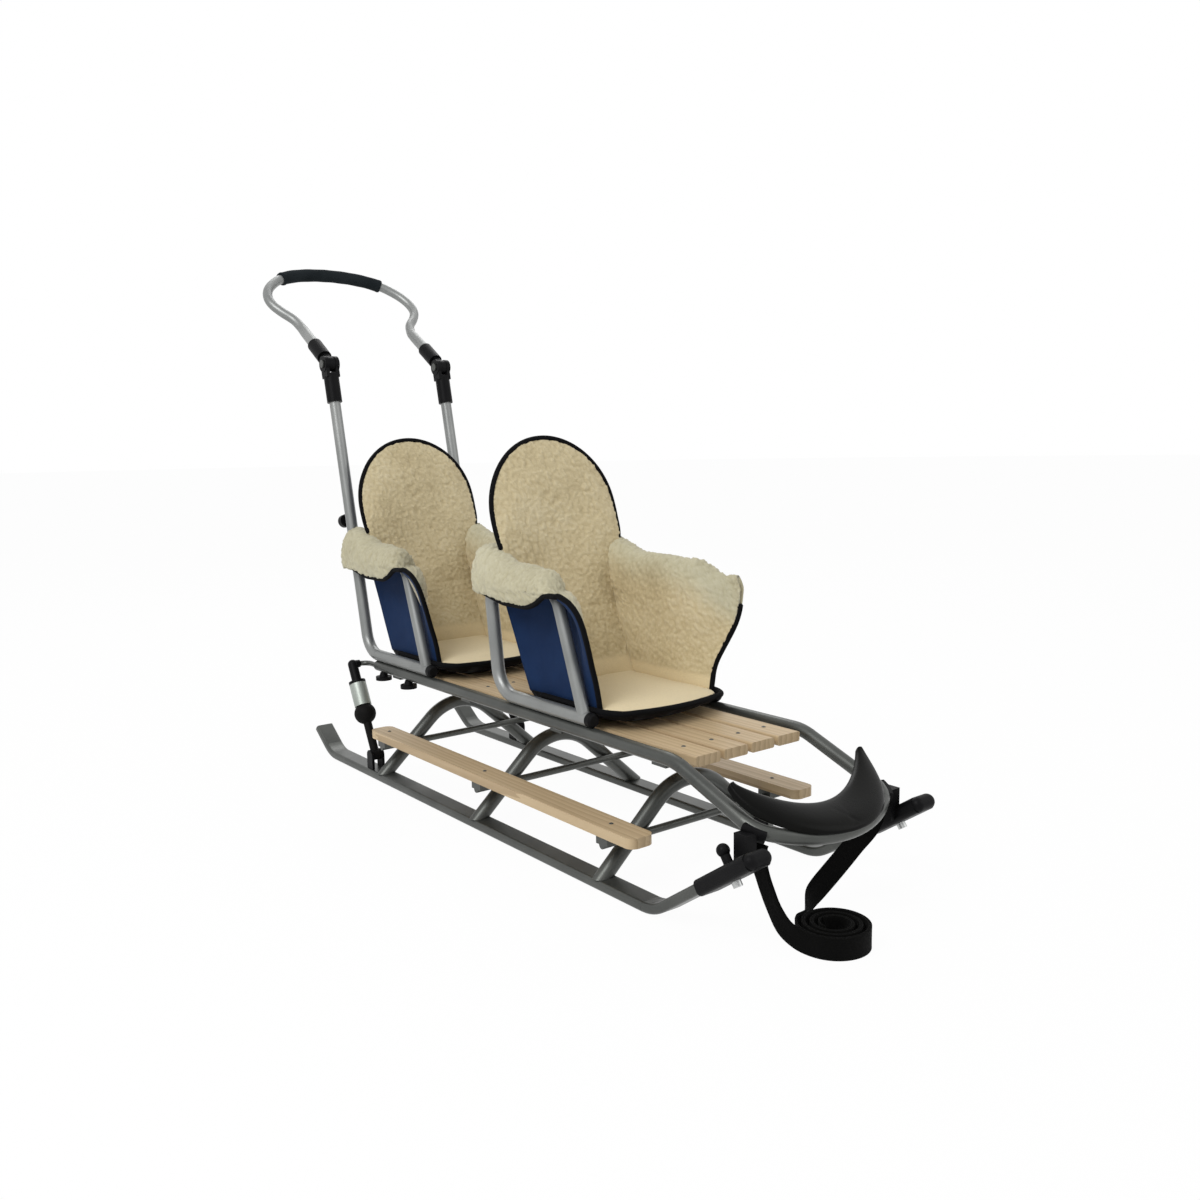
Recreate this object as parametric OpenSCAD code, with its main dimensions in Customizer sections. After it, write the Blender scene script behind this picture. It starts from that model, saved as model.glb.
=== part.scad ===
// Two-seat children's push sled: steel runners and arches, a sprung slatted deck,
// two fleece bucket seats, a tilting push handle, a front bumper pad and a tow strap.
// Millimetres. X points to the front, Y to the left, Z up, and the floor is Z = 0.

/* [Runners] */
// Distance between the middles of the two runners
gauge = 330; // [280:5:400]
// Width of the runner's flat bar
runner_w = 36; // [28:1:44]
// Height of the runner's flat bar
runner_t = 15; // [10:1:20]
// Corner radius of the runner's bar
runner_corner = 5; // [2:0.5:5]
// Length of the straight sole between its two bends
sole_len = 1019; // [900:5:1150]
// Slope of the front riser, degrees
riser_angle = 34.5; // [28:0.5:40]
// How far the riser's end reaches past the clamp bolt, inside the sleeve
riser_past = 20; // [14:1:26]
// Slope of the tail, degrees
tail_angle = 35; // [25:1:45]
// Length of the tail from its bend
tail_len = 74; // [60:1:90]
// Radius of the runner's bends
runner_bend = 70; // [50:5:90]

/* [Arches] */
// Diameter of the arch tube
arch_d = 25; // [20:1:28]
// Height of the middle of the arch's crown
crown_z = 131; // [110:1:140]
// Radius of the crown's bend
crown_bend = 98; // [70:2:110]
// Slope of the arch's legs, degrees
leg_angle = 42; // [38:1:46]
// Place of the rear arch
arch_rear_x = -800; // [-840:5:-760]
// Place of the front arch
arch_front_x = -125; // [-160:5:-90]

/* [Footrests] */
// Diameter of the footrest bars
bar_d = 12; // [10:1:16]
// Height of the footrest bars' middle
bar_z = 72; // [60:1:80]
// Width of a footrest board
footrest_w = 44; // [36:1:50]
// Thickness of a footrest board
footrest_t = 15; // [10:1:20]
// Height of a footrest's underside
footrest_z = 85; // [82:1:95]
// How far the footrest boards reach behind the rear arch's middle
footrest_tail = 20; // [14:1:26]
// Front end of the footrest boards
footrest_front_x = -35; // [-60:1:-20]
// Size of the saddle that carries a footrest, along the board
saddle_len = 26; // [20:1:34]

/* [Deck] */
// Diameter of the deck's side rails and front hoop
rail_d = 20; // [18:1:24]
// Distance between the middles of the side rails
rail_gap = 256; // [240:2:280]
// Height of the side rails' middle
rail_z = 206; // [190:1:220]
// Rear end of the side rails
rail_rear_x = -890; // [-900:5:-880]
// Place where the side rails start to slope down
rail_bend_x = -10; // [-25:1:0]
// Slope of the front hoop, degrees
hoop_angle = 21; // [17:0.5:25]
// Length of the hoop from the rails' bend to its front
hoop_len = 211; // [200:1:220]
// Radius of the hoop's front curve
hoop_front_r = 190; // [170:5:220]
// Radius of the hoop's two corners
hoop_corner_r = 45; // [35:1:55]
// Width of a slat
slat_w = 46; // [38:1:48]
// Gap between two slats
slat_gap = 8; // [5:1:10]
// Thickness of a slat
slat_t = 15; // [10:1:18]
// Front end of the slats
slat_front_x = 6; // [-5:1:10]
// Length of a slat
slat_len = 900; // [880:5:910]
// Width of the flat bearers under the slats
bearer_w = 30; // [20:1:40]
// Thickness of the flat bearers
bearer_t = 5; // [4:0.5:8]

/* [Front sleeves] */
// Start of a sleeve, measured along the riser
sleeve_start = 112; // [105:1:118]
// Length of a sleeve
sleeve_len = 117; // [110:1:124]
// Wall of a sleeve round the riser
sleeve_wall = 3.4; // [3:0.2:5]
// Place of the clamp bolt along the sleeve
bolt_at = 55; // [45:1:60]
// Diameter of the clamp bolt
bolt_d = 8; // [6:0.5:10]
// Diameter of the ball knob on the clamp bolt
ball_knob_d = 18; // [14:1:22]
// Outer diameter of the collar that holds the hoop
collar_d = 30; // [28:1:34]
// Length of the collar
collar_len = 26; // [20:1:32]
// Thickness of the web between sleeve and collar
sleeve_web = 10; // [8:0.5:14]

/* [Bumper pad] */
// Thickness of the bumper pad
pad_t = 11; // [6:1:14]
// Depth of the pad from its front edge to its inner edge
pad_depth = 63; // [55:1:80]
// Rise of the pad's horns above its middle
horn_rise = 16; // [8:1:24]
// Half of the distance between the horns' tips
horn_reach = 122; // [115:1:126]

/* [Seat frames] */
// Diameter of the seat frame and handle tubes
frame_d = 22; // [20:1:25]
// Diameter of the armrest tubes
arm_d = 20; // [16:1:20]
// Distance from one seat to the next
seat_pitch = 479; // [470:1:520]
// Front end of the front seat's bottom tube
frame_front_x = -202; // [-215:1:-190]
// Length of a seat frame's bottom tube to its rear corner
frame_base = 244; // [235:1:255]
// Height of the armrest tube above the bottom tube
arm_rise = 186; // [170:1:200]
// Lean of a front upright, degrees
front_lean = 20; // [14:1:24]
// Lean of the front seat's rear upright, degrees
rear_lean = 7; // [4:1:10]
// Lean of the handle's uprights, degrees
handle_lean = 12; // [9:0.5:14]
// Radius of the seat frame's lower bend
frame_bend = 48; // [35:1:55]
// Radius of the armrest's bends
arm_bend = 34; // [28:1:40]
// Length of the black end caps
cap_len = 12; // [8:1:16]

/* [Seats] */
// Width of a seat back
back_w = 268; // [240:2:280]
// Thickness of a seat back
back_t = 28; // [20:1:36]
// Height of a seat back's top
back_top_z = 650; // [600:5:680]
// Lean of a seat back's upper part, degrees
back_lean = 10; // [6:0.5:14]
// Height where the back bends forward to the base
back_knee_z = 368; // [340:1:390]
// Thickness of a seat's base
base_t = 38; // [28:1:42]
// Depth of a seat's base at its sides
base_depth = 206; // [190:2:220]
// Width of a seat's base
base_w = 230; // [216:1:232]
// How far the base's front edge bulges forward
base_bulge = 26; // [15:1:35]
// Thickness of a seat's side wing
wing_t = 11; // [8:1:14]
// Diameter of the fleece roll on the armrest
roll_d = 64; // [50:1:70]

/* [Handle] */
// Height of the handle's hinge axis
hinge_z = 800; // [760:5:840]
// Slope of the handle's arms above the level, degrees
arm_angle = 33; // [20:1:45]
// Length of the arms from the hinge to their kink
arm_len = 152; // [130:1:170]
// Reach of the hoop from the kink, along the ground
loop_reach = 128; // [110:1:140]
// Rise of the hoop from the kink
loop_rise = 122; // [100:1:140]
// How far each side of the hoop flares out
loop_flare = 44; // [30:1:55]
// Radius of the hoop's two top bends
loop_bend = 50; // [40:1:55]
// Outer diameter of the foam grip
grip_d = 31; // [28:1:36]
// Diameter of the hinge's discs
hinge_disc_d = 32; // [28:1:36]
// Width of a hinge across its cheeks
hinge_w = 30; // [26:1:34]
// Thickness of the tongue between the hinge's cheeks
tongue_t = 13; // [10:0.5:15]
// Outer diameter of the hinge's sockets
socket_d = 30; // [28:1:34]
// Distance of the sockets from the hinge axis
socket_from = 26; // [25:1:30]
// Length of a socket
socket_len = 52; // [45:1:60]
// Diameter of the hinge pin
pin_d = 8; // [6:0.5:10]
// Height where the handle's uprights begin
upright_from_z = 452; // [440:2:470]
// Diameter of the spigot inside the handle's upright
spigot_d = 17; // [15:0.5:18]
// Length of the spigot
spigot_len = 60; // [50:2:80]
// Height of the handle's clamp knobs
clamp_z = 492; // [480:1:500]
// Diameter of the clamp knobs
clamp_knob_d = 26; // [22:1:30]

/* [Rail knobs] */
// Diameter of a rail knob's disc
disc_knob_d = 31; // [26:1:36]
// Thickness of a rail knob's disc
disc_knob_t = 7; // [5:0.5:9]
// Length of a rail knob's stem
disc_stem = 8; // [6:0.5:12]

/* [Rear struts] */
// Diameter of the rod from the rail to the strut
strut_rod_d = 10; // [8:0.5:12]
// Diameter of the strut's elbow
elbow_d = 19; // [16:0.5:22]
// Diameter of the spring housing
housing_d = 33; // [28:1:36]
// Length of the spring housing
housing_len = 46; // [40:1:52]
// Diameter of the rubber ball under the housing
boot_d = 42; // [36:1:46]
// Diameter of the link below the ball
link_d = 16; // [12:0.5:18]
// Thickness of the fork's cheeks on the runner
fork_t = 5; // [4:0.5:7]

/* [Tow strap] */
// Width of the webbing
strap_w = 30; // [20:1:35]
// Thickness of the webbing
strap_t = 3; // [2:0.5:4]
// Outer diameter of the rolled-up webbing
strap_roll_d = 96; // [80:2:110]

/* [Hidden] */
$fn = 64;

// Clearances: a sliding or clamped fit, and pieces that only lie against each other
fit = 0.3;
touch = 0.2;
// How far a straight tube reaches into its bend, and how much thicker the bend is
lap = 2;
swell = 0.2;

steel = [0.62, 0.64, 0.64];
wood = [0.80, 0.66, 0.47];
black = [0.07, 0.08, 0.08];
fleece = [0.87, 0.82, 0.68];
zinc = [0.80, 0.82, 0.82];

RIGHT = -1;
LEFT = 1;
SIDES = [RIGHT, LEFT];

// Sled lengths
runner_y = gauge / 2;
rail_y = rail_gap / 2;
sole_mid_z = runner_t / 2;
arch_middle_x = (arch_rear_x + arch_front_x) / 2;
arch_x = [arch_rear_x, arch_middle_x, arch_front_x];
footrest_len = footrest_front_x - arch_rear_x + footrest_tail;
deck_z = rail_z - rail_d / 2;
slat_top_z = deck_z + slat_t;
frame_z = rail_z + rail_d / 2 + frame_d / 2 + touch;
arm_z = frame_z + arm_rise;
frame_rear_x = frame_front_x - frame_base;

// Front hoop in its own sloping plane
hoop_side_sin = (rail_y - hoop_corner_r) / (hoop_front_r - hoop_corner_r);
hoop_half_arc = asin(hoop_side_sin);
hoop_leg = hoop_len - hoop_front_r + (hoop_front_r - hoop_corner_r) * cos(hoop_half_arc);
hoop_centre = hoop_len - hoop_front_r;
rail_bend_r = 90;

// Sleeve along the riser
sleeve_w = runner_w + 2 * (sleeve_wall + fit);
sleeve_t = runner_t + 2 * (sleeve_wall + fit);
bolt_s = sleeve_start + bolt_at;
riser_len = bolt_s + riser_past;
collar_turn = 26;
cradle_rise = 7;
lug_len = 22;
collar_arc = collar_len / hoop_corner_r * 180 / PI;
collar_s = hoop_leg + hoop_corner_r * sin(collar_turn);
collar_y = rail_y - hoop_corner_r * (1 - cos(collar_turn));
collar_x = rail_bend_x + collar_s * cos(hoop_angle);
collar_z = rail_z - collar_s * sin(hoop_angle);

// Handle; the floor of a socket, the width of the fork's cheeks and of the tongue's neck,
// and how far both are set back from the discs' faces
hinge_step = 1;
socket_floor = 8;
slot_floor = 6;
cheek_w = 24;
neck_w = 20;
kink_bend = 60;
hinge_x = frame_rear_x - seat_pitch - (hinge_z - frame_z) * tan(handle_lean);
hinge = [hinge_x, 0, hinge_z];
arm_dir = [-cos(arm_angle), 0, sin(arm_angle)];
upright_dir = [-sin(handle_lean), 0, cos(handle_lean)];
kink = hinge + arm_len * arm_dir;
loop_top = kink + [-loop_reach, 0, loop_rise];
loop_turn = acos(-loop_flare / norm([loop_reach, loop_flare, loop_rise]));
grip_len = 2 * (rail_y + loop_flare - loop_bend * tan(loop_turn / 2));

// Overall reach, which sets the origin under the middle of the sled
pad_lip = 12;
pad_from = rail_d / 2 + 2 * touch;
pad_edge = 3;
front_reach = rail_bend_x + (hoop_len + pad_lip) * cos(hoop_angle) + (pad_from + pad_edge) * sin(hoop_angle);
rear_reach = loop_top.x - grip_d / 2;
mid_x = (front_reach + rear_reach) / 2;

// Struts
strut_top = [-938, runner_y - 5, rail_z - 1];
strut_foot = [-844, runner_y, 41];
strut_axis = (strut_foot - strut_top) / norm(strut_foot - strut_top);
strut_len = norm(strut_foot - strut_top);
elbow_len = 42;
elbow_flange = 6;
elbow_neck = 5;
rod_bend = 18;
boot_dip = 5;
eye_d = 20;
eye_w = 16;
fork_d = 22;

// Tow strap: each row is x, y, z of the webbing's middle, then the direction of its width
strap_roll = [210, -55];
roll_eye = 14;
strap_right = [
  [139.4, -122.3, 131.9, 0.79, 0.53, -0.3], [138.2, -123.2, 125, 0.79, 0.5, -0.3],
  [139, -122, 112, 0.8, 0.3, 0], [145, -120, 92, 0.85, 0.1, 0.2], [154, -119, 71, 0.8, 0, 0.4],
  [166, -118.5, 50, 0.7, 0, 0.6], [181, -116, 30, 0.6, 0, 0.8], [197, -110, 19, 0.2, 0, 1],
  [212, -104.7, 15, 0, 0, 1]
];
strap_left = [
  [139.4, 122.3, 131.9, 0.79, -0.53, -0.3], [138.2, 122.6, 125, 0.79, -0.53, -0.3],
  [137.5, 116, 114, 0.8, -0.4, -0.1], [136, 101, 97, 0.8, -0.2, 0.1], [131, 82, 79, 0.8, 0, 0.2],
  [126, 60, 59, 0.8, 0, 0.4], [122, 38, 41, 0.7, 0, 0.6], [121, 16, 27, 0.6, 0, 0.8],
  [126, -6, 19, 0.2, 0, 1], [140, -30, 15, 0, 0, 1], [160.4, -51, 15, 0, 0, 1]
];

// A cylinder of diameter d from a to b
module rod(a, b, d) {
  v = b - a;
  translate(a)
    rotate([0, acos(v.z / norm(v)), atan2(v.y, v.x)])
      cylinder(d = d, h = norm(v));
}

// A bar's section with rounded corners
module bar2d(w, t, r) {
  square([w - 2 * r, t], center = true);
  square([w, t - 2 * r], center = true);
  for (x = [-1, 1], y = [-1, 1])
    translate([x * (w / 2 - r), y * (t / 2 - r)]) circle(r = r);
}

function unit(v) = v / norm(v);
function turn(p, i) = acos(max(-1, min(1, unit(p[i] - p[i - 1]) * unit(p[i + 1] - p[i]))));
function cut_back(p, r, i) = (i == 0 || i == len(p) - 1) ? 0 : r[i] * tan(turn(p, i) / 2);

// Moves its children into a frame given by two axes and an origin
module in_axes(x, y, origin) {
  z = cross(x, y);
  multmatrix([
    [x.x, y.x, z.x, origin.x],
    [x.y, y.y, z.y, origin.y],
    [x.z, y.z, z.z, origin.z],
    [0, 0, 0, 1]
  ]) children();
}

// The bend at point i of a path, with the section turned about the bend's own axis,
// and a few degrees longer at both ends where it is to reach into the straights
module bend(p, r, i, extra = 0) {
  u = unit(p[i] - p[i - 1]);
  w = unit(p[i + 1] - p[i]);
  axis = unit(cross(u, w));
  inward = cross(axis, u);
  centre = p[i] - u * cut_back(p, r, i) + inward * r[i];
  in_axes(-inward, u, centre) rotate(-extra)
    rotate_extrude(angle = turn(p, i) + 2 * extra, $fn = 96)
      translate([r[i], 0]) children();
}

// A round tube of diameter d along points p, with a bend of radius r[i] at each.
// Each straight reaches a little way into its bends, which are a hair thicker.
module bent_tube(p, r, d) {
  last = len(p) - 1;
  for (i = [0:last - 1]) {
    u = unit(p[i + 1] - p[i]);
    a = i == 0 ? 0 : cut_back(p, r, i) - lap;
    b = i == last - 1 ? 0 : cut_back(p, r, i + 1) - lap;
    rod(p[i] + u * a, p[i + 1] - u * b, d);
  }
  for (i = [1:last - 1]) bend(p, r, i) circle(d = d + swell);
}

// A flat bar, wide across Y, along points p in the XZ plane.
// Each bend is a hair thinner and reaches a little way into its straights.
module bent_bar(p, r, w, t, corner) {
  last = len(p) - 1;
  for (i = [0:last - 1]) {
    u = unit(p[i + 1] - p[i]);
    a = p[i] + u * cut_back(p, r, i);
    b = p[i + 1] - u * cut_back(p, r, i + 1);
    in_axes([0, 1, 0], cross(u, [0, 1, 0]), a)
      linear_extrude(norm(b - a)) bar2d(w, t, corner);
  }
  for (i = [1:last - 1]) bend(p, r, i, lap / r[i] * 180 / PI)
    bar2d(t - swell, w - swell, corner - swell / 2);
}

// Puts a piece drawn for the left side on either side of the sled
module on_side(side) {
  if (side == LEFT) children();
  else mirror([0, 1, 0]) children();
}

// Moves the drawing so that the origin is under the sled's middle
module in_frame() translate([-mid_x, 0, 0]) children();

// The riser's own frame: X along the riser, Z square to it
module along_riser() translate([0, runner_y, sole_mid_z]) rotate([0, -riser_angle, 0]) children();

// The hoop's own frame: X down its slope from the rails' bend
module along_hoop() translate([rail_bend_x, 0, rail_z]) rotate([0, hoop_angle, 0]) children();

module runner(side) color(steel) in_frame() on_side(side) {
  front = [riser_len * cos(riser_angle), 0, riser_len * sin(riser_angle)];
  tail = [-sole_len - tail_len * cos(tail_angle), 0, tail_len * sin(tail_angle)];
  path = [tail, [-sole_len, 0, 0], [0, 0, 0], front];
  difference() {
    translate([0, runner_y, sole_mid_z])
      bent_bar(path, [0, runner_bend, runner_bend, 0], runner_w, runner_t, runner_corner);
    along_riser() translate([bolt_s, 0, 0])
      cylinder(d = bolt_d + 2 * fit, h = 2 * runner_t, center = true);
  }
}

module arch(x) color(steel) in_frame() {
  apex_z = crown_z + crown_bend * (1 / cos(leg_angle) - 1);
  foot_y = runner_y + arch_d;
  foot_z = apex_z - foot_y * tan(leg_angle);
  path = [[x, -foot_y, foot_z], [x, 0, apex_z], [x, foot_y, foot_z]];
  difference() {
    bent_tube(path, [0, crown_bend, 0], arch_d);
    translate([x, 0, runner_t + touch - gauge])
      cube([2 * arch_d, 3 * gauge, 2 * gauge], center = true);
  }
}

module footrest_bar(x) color(steel) in_frame() {
  bar_x = x + (arch_d + bar_d) / 2 + touch;
  saddle_inset = 4;
  saddle_w = footrest_w - 2 * saddle_inset;
  half = runner_y + saddle_w / 2;
  rod([bar_x, -half, bar_z], [bar_x, half, bar_z], bar_d);
  for (side = SIDES)
    translate([bar_x - saddle_len / 2, side * runner_y - saddle_w / 2, bar_z])
      cube([saddle_len, saddle_w, footrest_z - bar_z]);
}

module footrest(side) color(wood) in_frame() {
  end_r = 14;
  translate([footrest_front_x - footrest_len / 2, side * runner_y, footrest_z])
    linear_extrude(footrest_t) bar2d(footrest_len, footrest_w, end_r);
}

module deck_hoop() color(steel) in_frame() difference() {
  union() {
    for (side = SIDES) {
      leg_end = [
        rail_bend_x + (hoop_leg + lap) * cos(hoop_angle), side * rail_y,
        rail_z - (hoop_leg + lap) * sin(hoop_angle)
      ];
      path = [[rail_rear_x, side * rail_y, rail_z], [rail_bend_x, side * rail_y, rail_z], leg_end];
      bent_tube(path, [0, rail_bend_r, 0], rail_d);
    }
    along_hoop() {
      front_arc = hoop_half_arc + lap / hoop_front_r * 180 / PI;
      translate([hoop_centre, 0, 0]) rotate(-front_arc)
        rotate_extrude(angle = 2 * front_arc, $fn = 128)
          translate([hoop_front_r, 0]) circle(d = rail_d);
      for (side = SIDES) on_side(side)
        translate([hoop_leg, rail_y - hoop_corner_r, 0]) rotate(hoop_half_arc)
          rotate_extrude(angle = 90 - hoop_half_arc, $fn = 96)
            translate([hoop_corner_r, 0]) circle(d = rail_d + swell);
    }
  }
  rail_knob_holes();
}

bearer_x = [-815, -560, -290, -45];
module deck_bearers() color(steel) in_frame()
  for (x = bearer_x)
    translate([x - bearer_w / 2, -rail_y, deck_z - bearer_t]) cube([bearer_w, rail_gap, bearer_t]);

slat_count = 4;
module slat(i) color(wood) in_frame() {
  slat_corner = 3;
  from_middle = i - (slat_count - 1) / 2;
  translate([slat_front_x - slat_len, from_middle * (slat_w + slat_gap), deck_z + slat_t / 2])
    rotate([90, 0, 90]) linear_extrude(slat_len) bar2d(slat_w, slat_t, slat_corner);
}

// The pad in the hoop's plane: q turns from horn to horn, s runs from the outer to the inner edge
pad_steps = 40;
pad_rows = 6;
pad_side_lip = 6;
horn_x = 102;
function pad_outer(q) = [horn_x + (hoop_len + pad_lip - horn_x) * cos(90 * q), (rail_y + pad_side_lip) * sin(90 * q)];
function pad_inner(q) = let (y = horn_reach * sin(90 * q))
  [hoop_len + pad_lip - pad_depth - pow(sin(90 * q), 2) * (hoop_len + pad_lip - pad_depth - horn_x), y];
function horn_lift(q, s) = horn_rise * ((1 - s) * pow(abs(q), 7) + s * pow(sin(90 * q), 2));
function pad_low(q, s) = let (p = pad_outer(q) * (1 - s) + pad_inner(q) * s) [p.x, p.y, horn_lift(q, s)];
function pad_high(q, s) = pad_low(q, s) + [0, 0, pad_edge + (pad_t - pad_edge) * sqrt(1 - pow(2 * s - 1, 4))];
function pad_at(i, j) = i * (pad_rows + 1) + j;

module bumper_pad() color(black) in_frame() along_hoop() translate([0, 0, pad_from]) {
  grid = [for (i = [0:pad_steps], j = [0:pad_rows]) [2 * i / pad_steps - 1, j / pad_rows]];
  n = len(grid);
  quads = [for (i = [0:pad_steps - 1], j = [0:pad_rows - 1])
    [pad_at(i, j), pad_at(i, j + 1), pad_at(i + 1, j + 1), pad_at(i + 1, j)]];
  rim = concat(
    [for (i = [0:pad_steps - 1]) [pad_at(i, 0), pad_at(i + 1, 0)]],
    [for (j = [0:pad_rows - 1]) [pad_at(pad_steps, j), pad_at(pad_steps, j + 1)]],
    [for (i = [pad_steps - 1:-1:0]) [pad_at(i + 1, pad_rows), pad_at(i, pad_rows)]],
    [for (j = [pad_rows - 1:-1:0]) [pad_at(0, j + 1), pad_at(0, j)]]
  );
  walls = concat(
    [for (f = quads) [f[3], f[2], f[1], f[0]]],
    [for (f = quads) [for (k = f) k + n]],
    [for (e = rim) [e[0] + n, e[1] + n, e[1], e[0]]]
  );
  polyhedron(
    points = concat([for (g = grid) pad_low(g[0], g[1])], [for (g = grid) pad_high(g[0], g[1])]),
    faces = [for (f = walls, half = [0, 1]) half == 0 ? [f[0], f[1], f[2]] : [f[0], f[2], f[3]]],
    convexity = 6
  );
}

// A ring round the hoop's corner: from is counted from the end of the leg, both in degrees
module round_corner(from, arc, d) along_hoop()
  translate([hoop_leg, rail_y - hoop_corner_r, 0]) rotate(90 - from - arc)
    rotate_extrude(angle = arc, $fn = 96) translate([hoop_corner_r, 0]) circle(d = d);

module front_sleeve(side) color(black) in_frame() on_side(side) difference() {
  web_lap = 4;
  cap_s = sleeve_start + sleeve_len - sleeve_t / 2;
  cap_w = sleeve_w - sleeve_t;
  union() {
    along_riser() {
      translate([sleeve_start, 0, 0]) rotate([90, 0, 90])
        linear_extrude(cap_s - sleeve_start) bar2d(sleeve_w, sleeve_t, sleeve_t / 3);
      translate([cap_s, 0, 0]) rotate([90, 0, 0]) cylinder(d = sleeve_t, h = cap_w, center = true);
      for (y = [-1, 1]) translate([cap_s, y * cap_w / 2, 0]) sphere(d = sleeve_t);
    }
    intersection() {
      round_corner(collar_turn - collar_arc / 2, collar_arc, collar_d);
      along_hoop() translate([0, 0, cradle_rise - 2 * collar_d])
        cube([2 * hoop_len, rail_gap, 2 * collar_d]);
    }
    web_z = sole_mid_z + collar_x * tan(riser_angle);
    web_y = collar_y + collar_d / 2 - web_lap;
    translate([collar_x - lug_len / 2, web_y, web_z])
      cube([lug_len, runner_y - sleeve_w / 2 + sleeve_web - web_y, collar_z - web_z]);
  }
  along_riser() {
    rotate([90, 0, 90])
      linear_extrude(riser_len + fit) bar2d(runner_w + 2 * fit, runner_t + 2 * fit, runner_corner);
    translate([bolt_s, 0, 0]) cylinder(d = bolt_d + 2 * fit, h = 3 * sleeve_t, center = true);
  }
  round_corner(0, 90 - hoop_half_arc, rail_d + 2 * touch);
}

// The clamp bolt's end inside the ball knob, measured from the sleeve
knob_bore = 18;
knob_neck_d = bolt_d + 5;

module sleeve_bolts() color(zinc) in_frame() for (side = SIDES) on_side(side)
  along_riser() translate([bolt_s, 0, 0]) {
    nut_h = 8;
    nut_d = 13;
    translate([0, 0, -sleeve_t / 2 - touch - nut_h]) {
      cylinder(d = bolt_d, h = sleeve_t + nut_h + knob_bore - 2 * touch);
      cylinder(d = nut_d, h = nut_h);
    }
  }

module sleeve_knobs() color(black) in_frame() for (side = SIDES) on_side(side)
  along_riser() translate([bolt_s, 0, sleeve_t / 2]) difference() {
    union() {
      translate([0, 0, knob_bore]) sphere(d = ball_knob_d);
      translate([0, 0, touch]) cylinder(d = knob_neck_d, h = knob_bore - ball_knob_d / 3);
    }
    cylinder(d = bolt_d + 2 * touch, h = knob_bore);
  }

// Seat frames, drawn on the left side; x is the front end of the bottom tube
function rear_corner(x) = [x - frame_base, 0, frame_z];
foot_in = 12;
swage = 10;
function front_top(x) = [x - foot_in - arm_rise * tan(front_lean), 0, arm_z];
function rear_top(x, lean) = [x - frame_base - arm_rise * tan(lean), 0, arm_z];

// The armrest and front upright, from the rear upright down to the bottom tube
module arm_tube(x, start) bent_tube([start, front_top(x), [x - foot_in, 0, frame_z]], [0, arm_bend, 0], arm_d);

module seat_frame_front(side) color(steel) in_frame() on_side(side)
  translate([0, rail_y, 0]) {
    x = frame_front_x;
    corner = rear_top(x, rear_lean);
    arm_start = corner + [arm_bend * 2, 0, 0];
    bent_tube(
      [[x, 0, frame_z], rear_corner(x), corner, arm_start], [0, frame_bend, arm_bend, 0], frame_d
    );
    arm_tube(x, arm_start - [swage, 0, 0]);
  }

module seat_frame_rear(side) color(steel) in_frame() difference() {
  on_side(side) translate([0, rail_y, 0]) {
    x = frame_front_x - seat_pitch;
    top = rear_corner(x) + (upright_from_z - frame_z) / cos(handle_lean) * upright_dir;
    bent_tube([[x, 0, frame_z], rear_corner(x), top], [0, frame_bend, 0], frame_d);
    arm_tube(x, rear_top(x, handle_lean));
    rod(top - swage * upright_dir, top + spigot_len * upright_dir, spigot_d);
  }
  rail_knob_holes();
}

module frame_caps() color(black) in_frame()
  for (side = SIDES, x = [frame_front_x, frame_front_x - seat_pitch])
    translate([x, side * rail_y, frame_z]) rotate([0, 90, 0]) {
      cylinder(d = frame_d, h = cap_len - cap_bevel);
      translate([0, 0, cap_len - cap_bevel])
        cylinder(d1 = frame_d, d2 = frame_d - 2 * cap_bevel, h = cap_bevel);
    }
cap_bevel = 3;

rail_knob_x = [-868, -767];
rail_knob_neck = [18, 13];
module rail_knob_holes()
  for (side = SIDES, x = rail_knob_x)
    translate([x, side * rail_y, deck_z - fit]) cylinder(d = bolt_d + 2 * fit, h = frame_z - deck_z + fit);

module rail_knobs() color(black) in_frame() for (side = SIDES, x = rail_knob_x)
  translate([x, side * rail_y, deck_z - touch]) {
    translate([0, 0, -disc_stem]) {
      cylinder(d1 = rail_knob_neck[0], d2 = rail_knob_neck[1], h = disc_stem);
      cylinder(d = bolt_d, h = disc_stem + frame_z - deck_z - fit);
    }
    translate([0, 0, -disc_stem - disc_knob_t]) cylinder(d = disc_knob_d, h = disc_knob_t);
  }

// Seats; x is the front end of the seat frame's bottom tube
base_front = 37;
function base_x(x) = x + base_front - base_depth;
back_foot_x = -2;
knee_behind = 52;
knee_step = 4;
function back_knee_x(x) = base_x(x) + back_foot_x - knee_behind;
function back_top_x(x) = back_knee_x(x) - (back_top_z - back_knee_z) * tan(back_lean);

module seat_back(x) color(fleece) in_frame() {
  foot_z = slat_top_z + base_t + 2 * touch;
  top_r = back_w / 2;
  wide_z = arm_z + roll_d / 2 + knee_step;
  intersection() {
    rotate([90, 0, 0]) translate([0, 0, -back_w]) linear_extrude(2 * back_w) polygon([
      [base_x(x) + back_foot_x, foot_z],
      [back_knee_x(x), back_knee_z],
      [back_top_x(x), back_top_z],
      [back_top_x(x) - back_t, back_top_z],
      [back_knee_x(x) - back_t, back_knee_z - knee_step],
      [base_x(x) + back_foot_x - back_t, foot_z]
    ]);
    translate([back_top_x(x) - back_w, 0, 0]) rotate([90, 0, 90]) linear_extrude(3 * back_w) {
      intersection() {
        translate([0, back_top_z - top_r]) circle(r = top_r, $fn = 96);
        translate([-back_w, wide_z]) square([2 * back_w, back_w]);
      }
      translate([-top_r, wide_z]) square([back_w, back_top_z - top_r - wide_z]);
      translate([-back_inner, foot_z]) square([2 * back_inner, back_top_z - top_r - foot_z]);
    }
  }
}

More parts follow.
